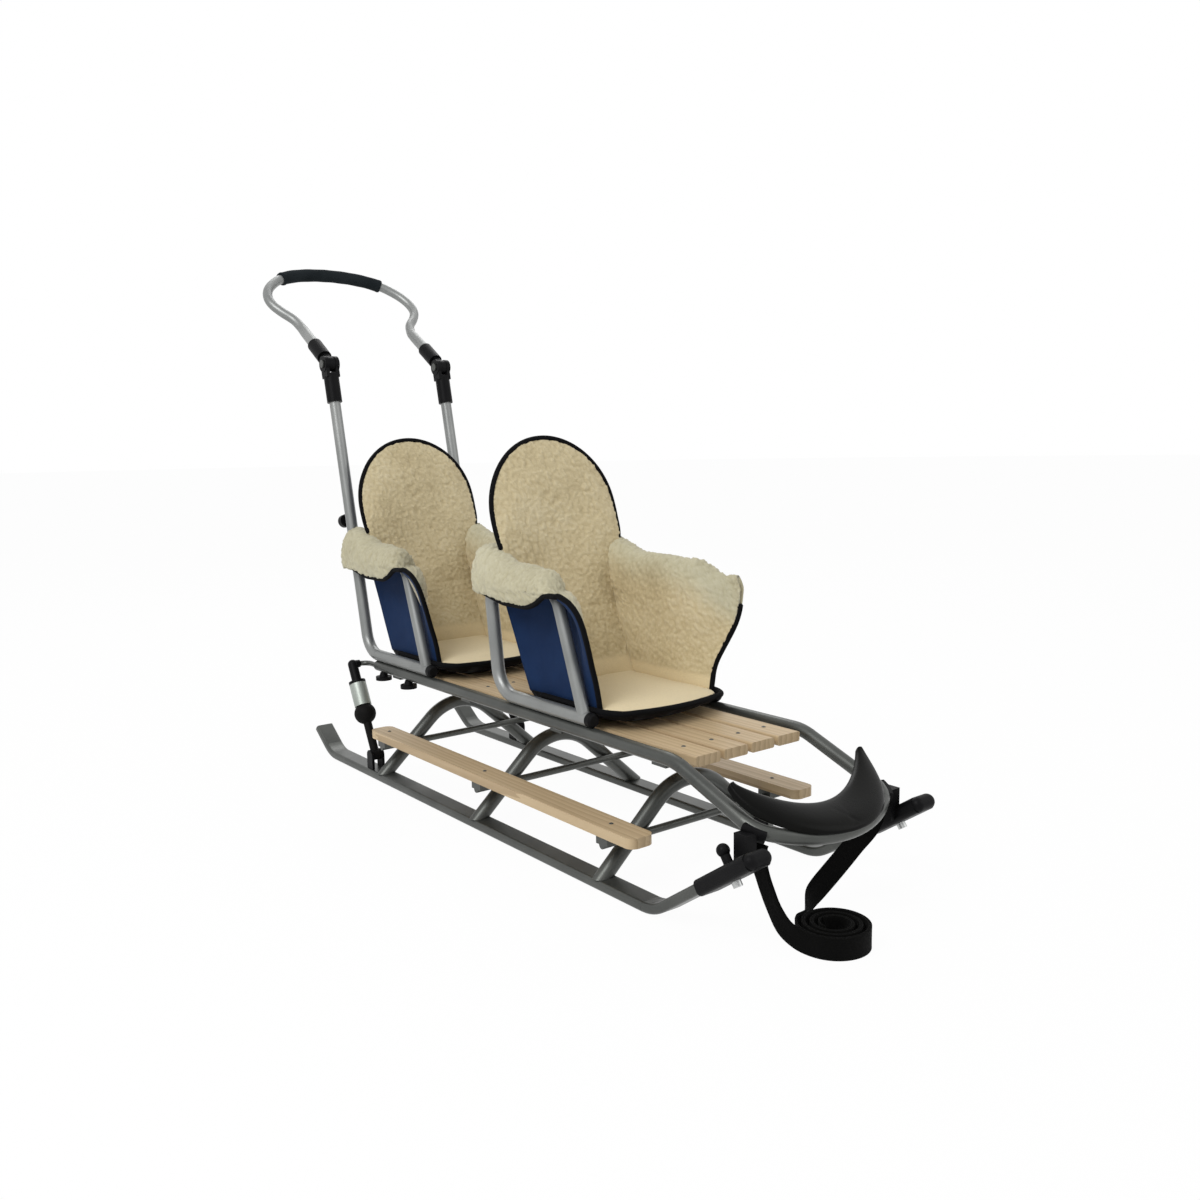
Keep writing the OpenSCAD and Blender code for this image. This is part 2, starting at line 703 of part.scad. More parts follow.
// The wings lie inside the seat frame, and the back's lower part lies between them and the rolls
wing_out = rail_y - frame_d / 2 - fit;
back_inner = min(wing_out - wing_t, rail_y - roll_d / 2) - fit;

module seat_base(x) color(fleece) in_frame() {
  bulge_r = (pow(base_w / 2, 2) + pow(base_bulge, 2)) / (2 * base_bulge);
  front = x + base_front;
  translate([0, 0, slat_top_z + touch]) linear_extrude(base_t) {
    translate([base_x(x), -base_w / 2]) square([base_depth, base_w]);
    intersection() {
      translate([front + base_bulge - bulge_r, 0]) circle(r = bulge_r, $fn = 128);
      translate([front - lap, -base_w / 2]) square([base_bulge + 2 * lap, base_w]);
    }
  }
}

wing_rake = 38;
roll_edge = 10;
roll_over = 12;
roll_behind = 22;
// A wing and the fleece roll round its armrest, with room for the frame's uprights and bends
module seat_wing(side, x, lean) color(fleece) in_frame() on_side(side) {
  low_z = slat_top_z + base_t + 2 * touch;
  rear = rear_top(x, lean);
  front = front_top(x);
  bore = frame_d + 2 * fit;
  start = rear.x - roll_behind;
  len = x + roll_over - start;
  difference() {
    union() {
      translate([0, wing_out, 0]) rotate([90, 0, 0]) linear_extrude(wing_t) polygon([
        [base_x(x), low_z],
        [back_knee_x(x), back_knee_z],
        [back_knee_x(x) - (arm_z - back_knee_z) * tan(back_lean), arm_z],
        [x + base_front - wing_rake, arm_z],
        [x + base_front, low_z]
      ]);
      translate([start, rail_y, arm_z]) rotate([0, 90, 0]) rotate_extrude() polygon([
        [0, 0], [roll_d / 2 - roll_edge, 0], [roll_d / 2, roll_edge],
        [roll_d / 2, len - roll_edge], [roll_d / 2 - roll_edge, len], [0, len]
      ]);
    }
    translate([rear.x - bore / 2, rail_y, arm_z]) rotate([0, 90, 0])
      cylinder(d = bore, h = front.x - rear.x);
    pocket(front.x - arm_bend, front.x + bore / 2 + fit + roll_d / 2 * tan(front_lean));
    if (lean == rear_lean) pocket(rear.x - bore / 2 - fit, rear.x + arm_bend + bore / 2);
    else translate([rear.x, rail_y, arm_z]) rotate([0, -lean, 0])
      cube([bore + 2 * fit, bore + 2 * fit, 2 * roll_d], center = true);
  }
}

// Room for a bend of the armrest tube, open below
module pocket(from_x, to_x) {
  bore = frame_d + 2 * fit;
  translate([from_x, rail_y - bore / 2 - fit, arm_z - roll_d])
    cube([to_x - from_x, bore + 2 * fit, roll_d + bore / 2 + fit]);
}

// Handle: fixed uprights, forks and pins, then the tilting tongues, hoop and grip
module handle_upright(side) color(steel) in_frame() on_side(side) translate([0, rail_y, 0]) {
  start = hinge - (hinge_z - upright_from_z) / cos(handle_lean) * upright_dir;
  socket_end = hinge - (socket_from + socket_floor) * upright_dir;
  difference() {
    rod(start + touch * upright_dir, socket_end, frame_d);
    rod(start, start + (spigot_len + lap) * upright_dir, spigot_d + 2 * fit);
  }
}

module clamp_knobs() color(black) in_frame() for (side = SIDES) on_side(side) translate([0, rail_y, 0]) {
  at = hinge - (hinge_z - clamp_z) / cos(handle_lean) * upright_dir;
  out = [-cos(handle_lean), 0, -sin(handle_lean)];
  from = frame_d / 2 + touch;
  neck = 11;
  head = 12;
  rod(at + from * out, at + (from + neck) * out, neck);
  rod(at + (from + neck - touch) * out, at + (from + neck + head) * out, clamp_knob_d);
}

module hinge_fork(side) color(black) in_frame() on_side(side) translate([0, rail_y, 0]) difference() {
  union() {
    rod(hinge - (socket_from + socket_len) * upright_dir, hinge - socket_from * upright_dir, socket_d);
    translate(hinge) rotate([90, 0, 0]) cylinder(d = hinge_disc_d, h = hinge_w, center = true);
    translate(hinge) rotate([0, -handle_lean, 0])
      translate([-cheek_w / 2, -hinge_w / 2 + hinge_step, -socket_from - lap])
        cube([cheek_w, hinge_w - 2 * hinge_step, socket_from + lap]);
  }
  slot = tongue_t + 2 * fit;
  translate(hinge) rotate([0, -handle_lean, 0])
    translate([-hinge_w, -slot / 2, -socket_from + slot_floor]) cube([2 * hinge_w, slot, 2 * hinge_w]);
  translate(hinge) rotate([90, 0, 0]) cylinder(d = pin_d, h = 2 * hinge_w, center = true);
  rod(hinge - (socket_from + socket_len + lap) * upright_dir,
    hinge - (socket_from + socket_floor - touch) * upright_dir, frame_d + 2 * touch);
}

module hinge_pins() color(zinc) in_frame() for (side = SIDES) on_side(side)
  translate(hinge + [0, rail_y, 0]) rotate([90, 0, 0]) {
    head_h = 3;
    cylinder(d = pin_d, h = hinge_w, center = true);
    for (z = [-1, 1]) translate([0, 0, z * (hinge_w + head_h) / 2])
      cylinder(d = 2 * pin_d, h = head_h, center = true);
  }

module hinge_tongue(side) color(black) in_frame() on_side(side) translate([0, rail_y, 0]) difference() {
  union() {
    translate(hinge) rotate([90, 0, 0]) cylinder(d = hinge_disc_d - 2, h = tongue_t, center = true);
    translate(hinge) rotate([0, arm_angle, 0])
      translate([-socket_from - lap, -tongue_t / 2 + hinge_step, -neck_w / 2])
        cube([socket_from + lap, tongue_t - 2 * hinge_step, neck_w]);
    rod(hinge + socket_from * arm_dir, hinge + (socket_from + socket_len) * arm_dir, socket_d);
  }
  translate(hinge) rotate([90, 0, 0]) cylinder(d = pin_d + 2 * fit, h = 2 * hinge_w, center = true);
  rod(hinge + (socket_from + socket_floor - touch) * arm_dir,
    hinge + (socket_from + socket_len + lap) * arm_dir, frame_d + 2 * touch);
}

module handle_hoop() color(steel) in_frame() {
  start = hinge + (socket_from + socket_floor) * arm_dir;
  half = [
    start + [0, rail_y, 0], kink + [0, rail_y, 0], loop_top + [0, rail_y + loop_flare, 0]
  ];
  other = [for (i = [2:-1:0]) [half[i].x, -half[i].y, half[i].z]];
  bent_tube(concat(half, other), [0, kink_bend, loop_bend, loop_bend, kink_bend, 0], frame_d);
}

module handle_grip() color(black) in_frame() translate(loop_top) rotate([90, 0, 0]) difference() {
  cylinder(d = grip_d, h = grip_len, center = true);
  cylinder(d = frame_d + 2 * touch, h = grip_len + 2, center = true);
}

// Rear struts, drawn on the left side
module strut_rods() color(steel) in_frame() for (side = SIDES) on_side(side) {
  corner = [strut_top.x, rail_y, strut_top.z];
  bent_tube(
    [[rail_rear_x, rail_y, strut_top.z], corner, strut_top - [0, elbow_d / 2, 0]],
    [0, rod_bend, 0], strut_rod_d
  );
}

module strut_elbows() color(black) in_frame() for (side = SIDES) on_side(side) difference() {
  union() {
    sphere_at(strut_top, elbow_d);
    rod(strut_top, strut_top + elbow_len * strut_axis, elbow_d);
    rod(strut_top - [0, elbow_d / 2 + elbow_neck, 0], strut_top, elbow_d - 2 * lap);
    rod(strut_top + (elbow_len - elbow_flange) * strut_axis, strut_top + elbow_len * strut_axis, housing_d);
  }
  rod(strut_top - [0, elbow_d, 0], strut_top - [0, elbow_d / 2 - touch, 0], strut_rod_d + 2 * touch);
}

module sphere_at(p, d) translate(p) sphere(d = d);

module strut_housings() color(zinc) in_frame() for (side = SIDES) on_side(side)
  rod(strut_top + elbow_len * strut_axis, strut_top + (elbow_len + housing_len) * strut_axis, housing_d);

module strut_boots() color(black) in_frame() for (side = SIDES) on_side(side) difference() {
  ball = strut_top + (elbow_len + housing_len + boot_d / 2 - boot_dip) * strut_axis;
  union() {
    sphere_at(ball, boot_d);
    rod(ball, strut_foot, link_d);
    rod(strut_foot - [0, eye_w / 2, 0], strut_foot + [0, eye_w / 2, 0], eye_d);
  }
  rod(strut_top, strut_top + (elbow_len + housing_len) * strut_axis, boot_d);
  rod(strut_foot - [0, eye_w, 0], strut_foot + [0, eye_w, 0], pin_d + 2 * fit);
}

module strut_forks() color(steel) in_frame() for (side = SIDES) on_side(side) {
  fork_y = eye_w / 2 + touch + fork_t / 2;
  for (y = [-1, 1]) translate([strut_foot.x, runner_y + y * fork_y, 0])
    rotate([90, 0, 0]) translate([0, 0, -fork_t / 2]) linear_extrude(fork_t) {
      translate([0, strut_foot.z]) circle(d = fork_d);
      translate([-fork_d / 2, runner_t + touch]) square([fork_d, strut_foot.z - runner_t - touch]);
    }
  pin_half = fork_y + fork_t / 2;
  rod(strut_foot - [0, pin_half, 0], strut_foot + [0, pin_half, 0], pin_d);
}

// Tow strap: flat webbing along hand-chosen points, with eight sides
function strap_point(row) = [row[0], row[1], row[2]];
function strap_dir(rows, i) = unit(
  strap_point(rows[min(i + 1, len(rows) - 1)]) - strap_point(rows[max(i - 1, 0)]));
function strap_across(rows, i) = let (
  t = strap_dir(rows, i),
  w = [rows[i][3], rows[i][4], rows[i][5]]
) unit(w - (w * t) * t);
strap_section = [
  [-0.5, -0.2], [-0.46, -0.5], [0.46, -0.5], [0.5, -0.2],
  [0.5, 0.2], [0.46, 0.5], [-0.46, 0.5], [-0.5, 0.2]
];

module webbing(rows) {
  sides = len(strap_section);
  last = len(rows) - 1;
  points = [for (i = [0:last], c = strap_section)
    strap_point(rows[i]) + c.x * strap_w * strap_across(rows, i)
      + c.y * strap_t * cross(strap_dir(rows, i), strap_across(rows, i))];
  walls = [for (i = [0:last - 1], k = [0:sides - 1], half = [0, 1]) let (
    m = (k + 1) % sides,
    a = i * sides + k,
    b = (i + 1) * sides + m
  ) k < sides / 2
    ? (half == 0 ? [a, a + sides, b] : [a, b, i * sides + m])
    : (half == 0 ? [a, a + sides, i * sides + m] : [a + sides, b, i * sides + m])];
  polyhedron(
    points = points,
    faces = concat(
      walls,
      [[for (k = [0:sides - 1]) k], [for (k = [sides - 1:-1:0]) last * sides + k]]
    ),
    convexity = 6
  );
}

module tow_strap_right() color(black) in_frame() webbing(strap_right);
module tow_strap_left() color(black) in_frame() webbing(strap_left);
module tow_strap_roll() color(black) in_frame() translate([strap_roll.x, strap_roll.y, 0])
  rotate_extrude($fn = 96) translate([roll_eye, 0]) square([strap_roll_d / 2 - roll_eye, strap_w]);

runner(RIGHT);  // runner_right
runner(LEFT);  // runner_left
arch(arch_x[0]);  // arch_rear
arch(arch_x[1]);  // arch_middle
arch(arch_x[2]);  // arch_front
footrest_bar(arch_x[0]);  // footrest_bar_rear
footrest_bar(arch_x[1]);  // footrest_bar_middle
footrest_bar(arch_x[2]);  // footrest_bar_front
footrest(RIGHT);  // footrest_right
footrest(LEFT);  // footrest_left
deck_hoop();
deck_bearers();
slat(0);  // slat_1
slat(1);  // slat_2
slat(2);  // slat_3
slat(3);  // slat_4
bumper_pad();
front_sleeve(RIGHT);  // front_sleeve_right
front_sleeve(LEFT);  // front_sleeve_left
sleeve_bolts();
sleeve_knobs();
seat_frame_front(RIGHT);  // seat_frame_front_right
seat_frame_front(LEFT);  // seat_frame_front_left
seat_frame_rear(RIGHT);  // seat_frame_rear_right
seat_frame_rear(LEFT);  // seat_frame_rear_left
frame_caps();
rail_knobs();
seat_back(frame_front_x);  // front_seat_back
seat_base(frame_front_x);  // front_seat_base
seat_wing(RIGHT, frame_front_x, rear_lean);  // front_seat_wing_right
seat_wing(LEFT, frame_front_x, rear_lean);  // front_seat_wing_left
seat_back(frame_front_x - seat_pitch);  // rear_seat_back
seat_base(frame_front_x - seat_pitch);  // rear_seat_base
seat_wing(RIGHT, frame_front_x - seat_pitch, handle_lean);  // rear_seat_wing_right
seat_wing(LEFT, frame_front_x - seat_pitch, handle_lean);  // rear_seat_wing_left
handle_upright(RIGHT);  // handle_upright_right
handle_upright(LEFT);  // handle_upright_left
clamp_knobs();
hinge_fork(RIGHT);  // hinge_fork_right
hinge_fork(LEFT);  // hinge_fork_left
hinge_pins();
hinge_tongue(RIGHT);  // hinge_tongue_right
hinge_tongue(LEFT);  // hinge_tongue_left
handle_hoop();
handle_grip();
strut_rods();
strut_elbows();
strut_housings();
strut_boots();
strut_forks();
tow_strap_right();
tow_strap_left();
tow_strap_roll();
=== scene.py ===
import bpy
import numpy as np
from mathutils import Matrix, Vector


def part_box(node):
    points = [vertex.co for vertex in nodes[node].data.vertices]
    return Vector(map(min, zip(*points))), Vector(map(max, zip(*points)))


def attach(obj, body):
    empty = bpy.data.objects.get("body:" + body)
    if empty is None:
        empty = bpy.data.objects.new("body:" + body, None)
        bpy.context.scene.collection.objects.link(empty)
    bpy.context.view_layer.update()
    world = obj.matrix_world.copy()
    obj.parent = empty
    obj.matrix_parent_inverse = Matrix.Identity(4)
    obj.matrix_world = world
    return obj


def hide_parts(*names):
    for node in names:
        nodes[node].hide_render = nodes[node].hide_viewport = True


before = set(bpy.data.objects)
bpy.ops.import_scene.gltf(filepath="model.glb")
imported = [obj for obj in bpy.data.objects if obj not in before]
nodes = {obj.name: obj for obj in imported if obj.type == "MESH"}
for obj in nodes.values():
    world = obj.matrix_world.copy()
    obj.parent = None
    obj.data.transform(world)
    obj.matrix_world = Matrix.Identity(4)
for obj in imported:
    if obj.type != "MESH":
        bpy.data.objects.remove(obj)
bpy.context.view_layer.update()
scene = bpy.context.scene
print("frame loaded:", len(nodes), "nodes")

# camera, solved from the parallel runners and rails
cameraView = {
    "place": (1.65737, -1.117, 0.645), "right": (0.6155, 0.7880, -0.0156), "back": (0.7813, -0.6075, 0.1433),
    "lens": 33.62, "sensor": 36.0, "far": 200.0,
}


def placeCamera(view):
    # back is kept, right is squared to it, up is their cross product
    back = np.array(view["back"]) / np.linalg.norm(view["back"])
    right = np.array(view["right"]) - np.dot(view["right"], back) * back
    right /= np.linalg.norm(right)
    up = np.cross(back, right)
    data = bpy.data.cameras.new("viewCamera")
    data.lens, data.sensor_width, data.clip_end = view["lens"], view["sensor"], view["far"]
    cam = bpy.data.objects.new("viewCamera", data)
    m = np.eye(4)
    m[:3, 0], m[:3, 1], m[:3, 2], m[:3, 3] = right, up, back, view["place"]
    cam.matrix_world = Matrix(m.tolist())
    scene.collection.objects.link(cam)
    scene.camera = cam


placeCamera(cameraView)

# small helpers for arrays and meshes


def unit(v):
    return v / np.maximum(np.linalg.norm(v, axis=-1, keepdims=True), 1e-12)


def ease(a, b, x):
    # smooth step: 0 before a, 1 after b, cubic between
    t = np.clip((np.asarray(x, float) - a) / (b - a), 0, 1)
    return t * t * (3 - 2 * t)


def throughPoints(points, count):
    # Catmull-Rom curve through the rows, sampled at equal arc lengths
    p = np.asarray(points, float)
    q = np.vstack([2 * p[0] - p[1], p, 2 * p[-1] - p[-2]])
    t = np.linspace(0, len(p) - 1 - 1e-9, 24 * len(p))
    i = t.astype(int)
    f = (t - i)[:, None]
    a, b, c, d = q[i], q[i + 1], q[i + 2], q[i + 3]
    fine = 0.5 * (2 * b + (c - a) * f + (2 * a - 5 * b + 4 * c - d) * f ** 2 + (3 * b - a - 3 * c + d) * f ** 3)
    run = np.concatenate([[0], np.cumsum(np.linalg.norm(np.diff(fine[:, :3], axis=0), axis=1))])
    want = np.linspace(0, run[-1], count)
    return np.stack([np.interp(want, run, fine[:, k]) for k in range(fine.shape[1])], axis=1)


def gridFaces(rows, cols, wrapCols=False, wrapRows=False):
    # one quad for each cell of a rows x cols grid of points
    r = np.arange(rows if wrapRows else rows - 1)
    c = np.arange(cols if wrapCols else cols - 1)
    i, j = np.meshgrid(r, c, indexing="ij")
    k, m = (i + 1) % rows, (j + 1) % cols
    return np.stack([i * cols + j, i * cols + m, k * cols + m, k * cols + j], axis=-1).reshape(-1, 4)


def makePiece(name, verts, faces, finishes, body="sled", faceFinish=None, values=None, uv=None):
    # verts n x 3, faces a list of index rows; values are float attributes at the points
    mesh = bpy.data.meshes.new(name)
    mesh.from_pydata(np.asarray(verts, float).tolist(), [], [list(map(int, f)) for f in faces])
    for f in finishes:
        mesh.materials.append(f)
    if faceFinish is not None:
        mesh.polygons.foreach_set("material_index", np.asarray(faceFinish, np.int32))
    mesh.polygons.foreach_set("use_smooth", np.ones(len(mesh.polygons), bool))
    for key, val in (values or {}).items():
        kept = mesh.attributes.new(key, "FLOAT", "POINT").data
        kept.foreach_set("value", np.asarray(val, np.float32).ravel())
    if uv is not None:
        corner = np.empty(len(mesh.loops), np.int32)
        mesh.loops.foreach_get("vertex_index", corner)
        mesh.uv_layers.new(name="run").data.foreach_set("uv", np.asarray(uv, np.float32)[corner].ravel())
    mesh.update()
    obj = bpy.data.objects.new(name, mesh)
    scene.collection.objects.link(obj)
    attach(obj, body)
    return obj


def carry(path, section, across=None):
    # a flat section (m x 2) carried along a path (n x 3)
    # its first axis lies along across, or else turns as little as the path allows
    path = np.asarray(path, float)
    t = unit(np.gradient(path, axis=0))
    if across is None:
        a = np.empty_like(t)
        seed = np.array([0, 0, 1.0]) if abs(t[0, 2]) < 0.9 else np.array([1.0, 0, 0])
        prev = unit(np.cross(t[0], seed))
        for i in range(len(t)):
            prev = unit(prev - (prev @ t[i]) * t[i])
            a[i] = prev
    else:
        a = unit(across - np.sum(across * t, axis=1, keepdims=True) * t)
    n = np.cross(t, a)
    return path[:, None] + section[None, :, :1] * a[:, None] + section[None, :, 1:2] * n[:, None]


def circle(sides):
    ang = np.linspace(0, 2 * np.pi, sides, endpoint=False)
    return np.stack([np.cos(ang), np.sin(ang)], axis=1)


def runLength(path):
    return np.concatenate([[0], np.cumsum(np.linalg.norm(np.diff(path, axis=0), axis=1))])


def tubeFaces(rows, cols):
    # a closed tube: the grid and both ends
    ends = [list(range(cols))[::-1], list(range((rows - 1) * cols, rows * cols))]
    return gridFaces(rows, cols, wrapCols=True).tolist() + ends


ropeSet = {"sides": 12, "ends": 0.55}


def rope(name, path, radius, finish, across=None, section=None):
    # a round section with its ends drawn in, or a given section with square ends, carried along the path
    path = np.asarray(path, float)
    if section is None:
        k = ropeSet["ends"]
        ring = carry(path, radius * circle(ropeSet["sides"]))
        t0, t1 = unit(path[0] - path[1]), unit(path[-1] - path[-2])
        first = path[0] + k * (ring[0] - path[0]) + radius * k * t0
        last = path[-1] + k * (ring[-1] - path[-1]) + radius * k * t1
        ring = np.concatenate([first[None], ring, last[None]])
    else:
        ring = carry(path, section, across)
    rows, cols = ring.shape[:2]
    run = runLength(ring.mean(axis=1))
    uv = np.stack(np.broadcast_arrays(run[:, None], np.arange(cols)[None] / cols), axis=-1).reshape(-1, 2)
    verts = ring.reshape(-1, 3)
    return makePiece(name, verts, turnOut(verts, tubeFaces(rows, cols)), [finish], uv=uv)


def turnOut(verts, faces):
    # signed volume of the fan triangles: when it is negative every face is turned round
    v = np.asarray(verts)
    vol = 0.0
    quads = np.array([f for f in faces if len(f) == 4])
    if len(quads):
        a, b, c, d = (v[quads[:, k]] for k in range(4))
        vol += np.sum(np.cross(a, b) * c) + np.sum(np.cross(a, c) * d)
    for f in faces:
        if len(f) != 4:
            p = v[f]
            vol += np.sum(np.cross(p[0], p[1:-1]) * p[2:])
    return [f[::-1] for f in faces] if vol < 0 else faces


skewRows = np.array([(127.1, 311.7, 74.7), (269.5, 183.3, 246.1), (113.5, 271.9, 124.6)])
hashScale = 43758.5453


def tufts(p, size, salt=0.0):
    # cell noise: 1 minus the distance to the nearest of one scattered point per cell
    q = np.asarray(p) / size
    base = np.floor(q)
    best = np.full(len(q), 9.0)
    for off in np.ndindex(3, 3, 3):
        c = base + np.array(off) - 1
        h = np.stack([np.sin(c @ w + salt) * hashScale for w in skewRows], axis=1)
        best = np.minimum(best, np.linalg.norm(c + (h - np.floor(h)) - q, axis=1))
    return np.clip(1 - best, 0, 1)


def waves(p, size, salt=0.0):
    # a slow smooth swell: three sines in skew directions
    q = np.asarray(p) / size
    first = np.sin(q @ np.array([1.0, 0.6, -0.4]) + salt)
    second = np.sin(q @ np.array([-0.5, 1.1, 0.7]) + 2.1 * salt)
    third = np.sin(q @ np.array([0.3, -0.8, 1.2]) + 0.7 + salt)
    return (first + second + third) / 3


# finishes


def add(tree, kind, props=None, **ins):
    n = tree.nodes.new(kind)
    for k, v in (props or {}).items():
        setattr(n, k, v)
    for k, v in ins.items():
        key = int(k[1:]) if k[0] == "i" and k[1:].isdigit() else k.replace("_", " ")
        s = n.inputs[key]
        if isinstance(v, bpy.types.NodeSocket):
            tree.links.new(v, s)
        else:
            s.default_value = v
    return n


def startFinish(name, sockets):
    m = bpy.data.materials.new(name)
    m.use_nodes = True
    b = m.node_tree.nodes["Principled BSDF"]
    for k, v in sockets.items():
        b.inputs[k].default_value = v
    return m, m.node_tree, b


def ramp(tree, fac, stops):
    n = add(tree, "ShaderNodeValToRGB", Fac=fac)
    e = n.color_ramp.elements
    while len(e) < len(stops):
        e.new(0.5)
    for k, (pos, col) in enumerate(stops):
        e[k].position = pos
        e[k].color = (*col, 1)
    return n.outputs["Color"]


def noise(tree, where, scale, detail, rough=0.55):
    n = add(tree, "ShaderNodeTexNoise", Vector=where, Scale=scale, Detail=detail, Roughness=rough)
    return n.outputs["Fac"]


def wave(tree, where, axis, scale, distortion):
    n = add(tree, "ShaderNodeTexWave", {"bands_direction": axis}, Vector=where, Scale=scale, Distortion=distortion)
    return n.outputs["Fac"]


def stretched(tree, scale=(1, 1, 1)):
    co = add(tree, "ShaderNodeTexCoord").outputs["Object"]
    return add(tree, "ShaderNodeMapping", Vector=co, Scale=scale).outputs["Vector"]


def bump(tree, bsdf, height, strength, distance, under=None):
    n = add(tree, "ShaderNodeBump", Strength=strength, Distance=distance, Height=height)
    if under is not None:
        tree.links.new(under.outputs["Normal"], n.inputs["Normal"])
    tree.links.new(n.outputs["Normal"], bsdf.inputs["Normal"])
    return n


def math2(tree, op, a, b):
    return add(tree, "ShaderNodeMath", {"operation": op}, i0=a, i1=b).outputs[0]


def blend(tree, *parts):
    # weighted sum of sockets, given as pairs of socket and weight
    total = math2(tree, "MULTIPLY", *parts[0])
    for part in parts[1:]:
        total = math2(tree, "ADD", total, math2(tree, "MULTIPLY", *part))
    return total


def between(tree, socket, span, start):
    # start + span * socket
    return math2(tree, "ADD", math2(tree, "MULTIPLY", socket, span), start)


def paintFinish(name, dark, light, metal, rough=0.36):
    # metallic grey lacquer: fine flake, slow tone drift, light scuffs
    m, t, b = startFinish(name, {"Metallic": metal, "Specular IOR Level": 0.5})
    where = stretched(t)
    drift = noise(t, where, 9.0, 3.0)
    flake = noise(t, where, 900.0, 2.0)
    scuff = noise(t, where, 60.0, 6.0, 0.7)
    both = blend(t, (drift, 0.8), (flake, 0.2))
    t.links.new(ramp(t, both, [(0.32, dark), (0.68, light)]), b.inputs["Base Color"])
    t.links.new(between(t, scuff, 0.09, rough - 0.045), b.inputs["Roughness"])
    bump(t, b, flake, 0.015, 0.0003)
    return m


def pineFinish(name, light, mid, dark):
    # long grain along X: stretched bands, fine pores, a few darker streaks, thin lacquer
    m, t, b = startFinish(name, {"Coat Weight": 0.15, "Coat Roughness": 0.35})
    slow = stretched(t, (1.6, 26.0, 26.0))
    fine = stretched(t, (9.0, 420.0, 420.0))
    swirl = noise(t, slow, 1.0, 3.0, 0.5)
    saw = {"wave_type": "BANDS", "bands_direction": "Y", "wave_profile": "SAW"}
    bent = {"Scale": 1.1, "Distortion": 5.0, "Detail": 2.0, "Detail_Scale": 1.2}
    bands = add(t, "ShaderNodeTexWave", saw, Vector=slow, **bent).outputs["Fac"]
    pores = noise(t, fine, 1.0, 3.0, 0.6)
    grain = blend(t, (bands, 0.55), (swirl, 0.35), (pores, 0.22))
    t.links.new(ramp(t, grain, [(0.18, light), (0.55, mid), (0.95, dark)]), b.inputs["Base Color"])
    t.links.new(between(t, pores, 0.25, 0.42), b.inputs["Roughness"])
    bump(t, b, grain, 0.18, 0.0006)
    return m


def mouldedFinish(name, low, high, rough, scale, strength=0.25, coat=0.0):
    # moulded plastic or rubber: pebbled skin, slow tone change, worn lighter patches
    m, t, b = startFinish(name, {"Coat Weight": coat, "Coat Roughness": 0.2, "Specular IOR Level": 0.07})
    where = stretched(t)
    grainy = add(t, "ShaderNodeTexVoronoi", {"feature": "SMOOTH_F1"}, Vector=where, Scale=scale).outputs["Distance"]
    slow = noise(t, where, 16.0, 5.0, 0.65)
    t.links.new(ramp(t, slow, [(0.3, low), (0.75, high)]), b.inputs["Base Color"])
    t.links.new(between(t, slow, 0.3, rough - 0.15), b.inputs["Roughness"])
    bump(t, b, grainy, strength, 0.0005)
    return m


def fleeceFinish(name, wool, roll, flatTone):
    # wool pile: colour from the tuft height kept at the points, darker where the tuft is low as painted shade in the
    # hollows between tufts, and from fine fibre noise
    # paler where "roll" is 1, short cut pile where "flat" is 1
    sheen = {"Sheen Weight": 0.2, "Sheen Roughness": 0.5}
    m, t, b = startFinish(name, {"Roughness": 0.95, "Specular IOR Level": 0.1, **sheen})
    where = stretched(t)
    kept = [add(t, "ShaderNodeAttribute", {"attribute_name": k}).outputs["Fac"] for k in ("pile", "flat", "roll")]
    pile, flat, pale = kept
    fibre = noise(t, where, 420.0, 5.0, 0.7)
    clump = noise(t, where, 70.0, 4.0, 0.6)
    # slow random patches of darker and lighter wool
    blotch = noise(t, where, 11.0, 3.0, 0.5)
    # low tufts give darker wool: painted shade in the hollows between tufts
    mixed = blend(t, (pile, 0.45), (fibre, 0.3), (clump, 0.25), (math2(t, "SUBTRACT", blotch, 0.5), 0.6))
    stops = (0.2, 0.5, 0.85)
    deep = ramp(t, mixed, list(zip(stops, wool)))
    light = ramp(t, mixed, list(zip(stops, roll)))
    long = add(t, "ShaderNodeMixRGB", Fac=pale, Color1=deep, Color2=light).outputs["Color"]
    dim, lit = ([min(1, c * k) for c in flatTone] for k in (0.9, 1.06))
    cut = ramp(t, fibre, [(0.25, dim), (0.75, lit)])
    tone = add(t, "ShaderNodeMixRGB", Fac=flat, Color1=long, Color2=cut).outputs["Color"]
    t.links.new(tone, b.inputs["Base Color"])
    first = bump(t, b, clump, 0.45, 0.003)
    bump(t, b, fibre, 0.55, 0.0014, first)
    return m


def clothFinish(name, low, high, scale):
    # plain weave: two crossed waves for warp and weft, slight fading
    sheen = {"Sheen Weight": 0.02, "Sheen Roughness": 0.4}
    m, t, b = startFinish(name, {"Roughness": 0.62, "Specular IOR Level": 0.08, **sheen})
    where = stretched(t)
    weave = math2(t, "MAXIMUM", wave(t, where, "X", scale, 0.6), wave(t, where, "Z", scale, 0.6))
    fade = noise(t, where, 22.0, 5.0, 0.6)
    both = blend(t, (weave, 0.4), (fade, 0.6))
    t.links.new(ramp(t, both, [(0.25, low), (0.8, high)]), b.inputs["Base Color"])
    first = bump(t, b, fade, 0.25, 0.004)
    bump(t, b, weave, 0.3, 0.0004, first)
    return m


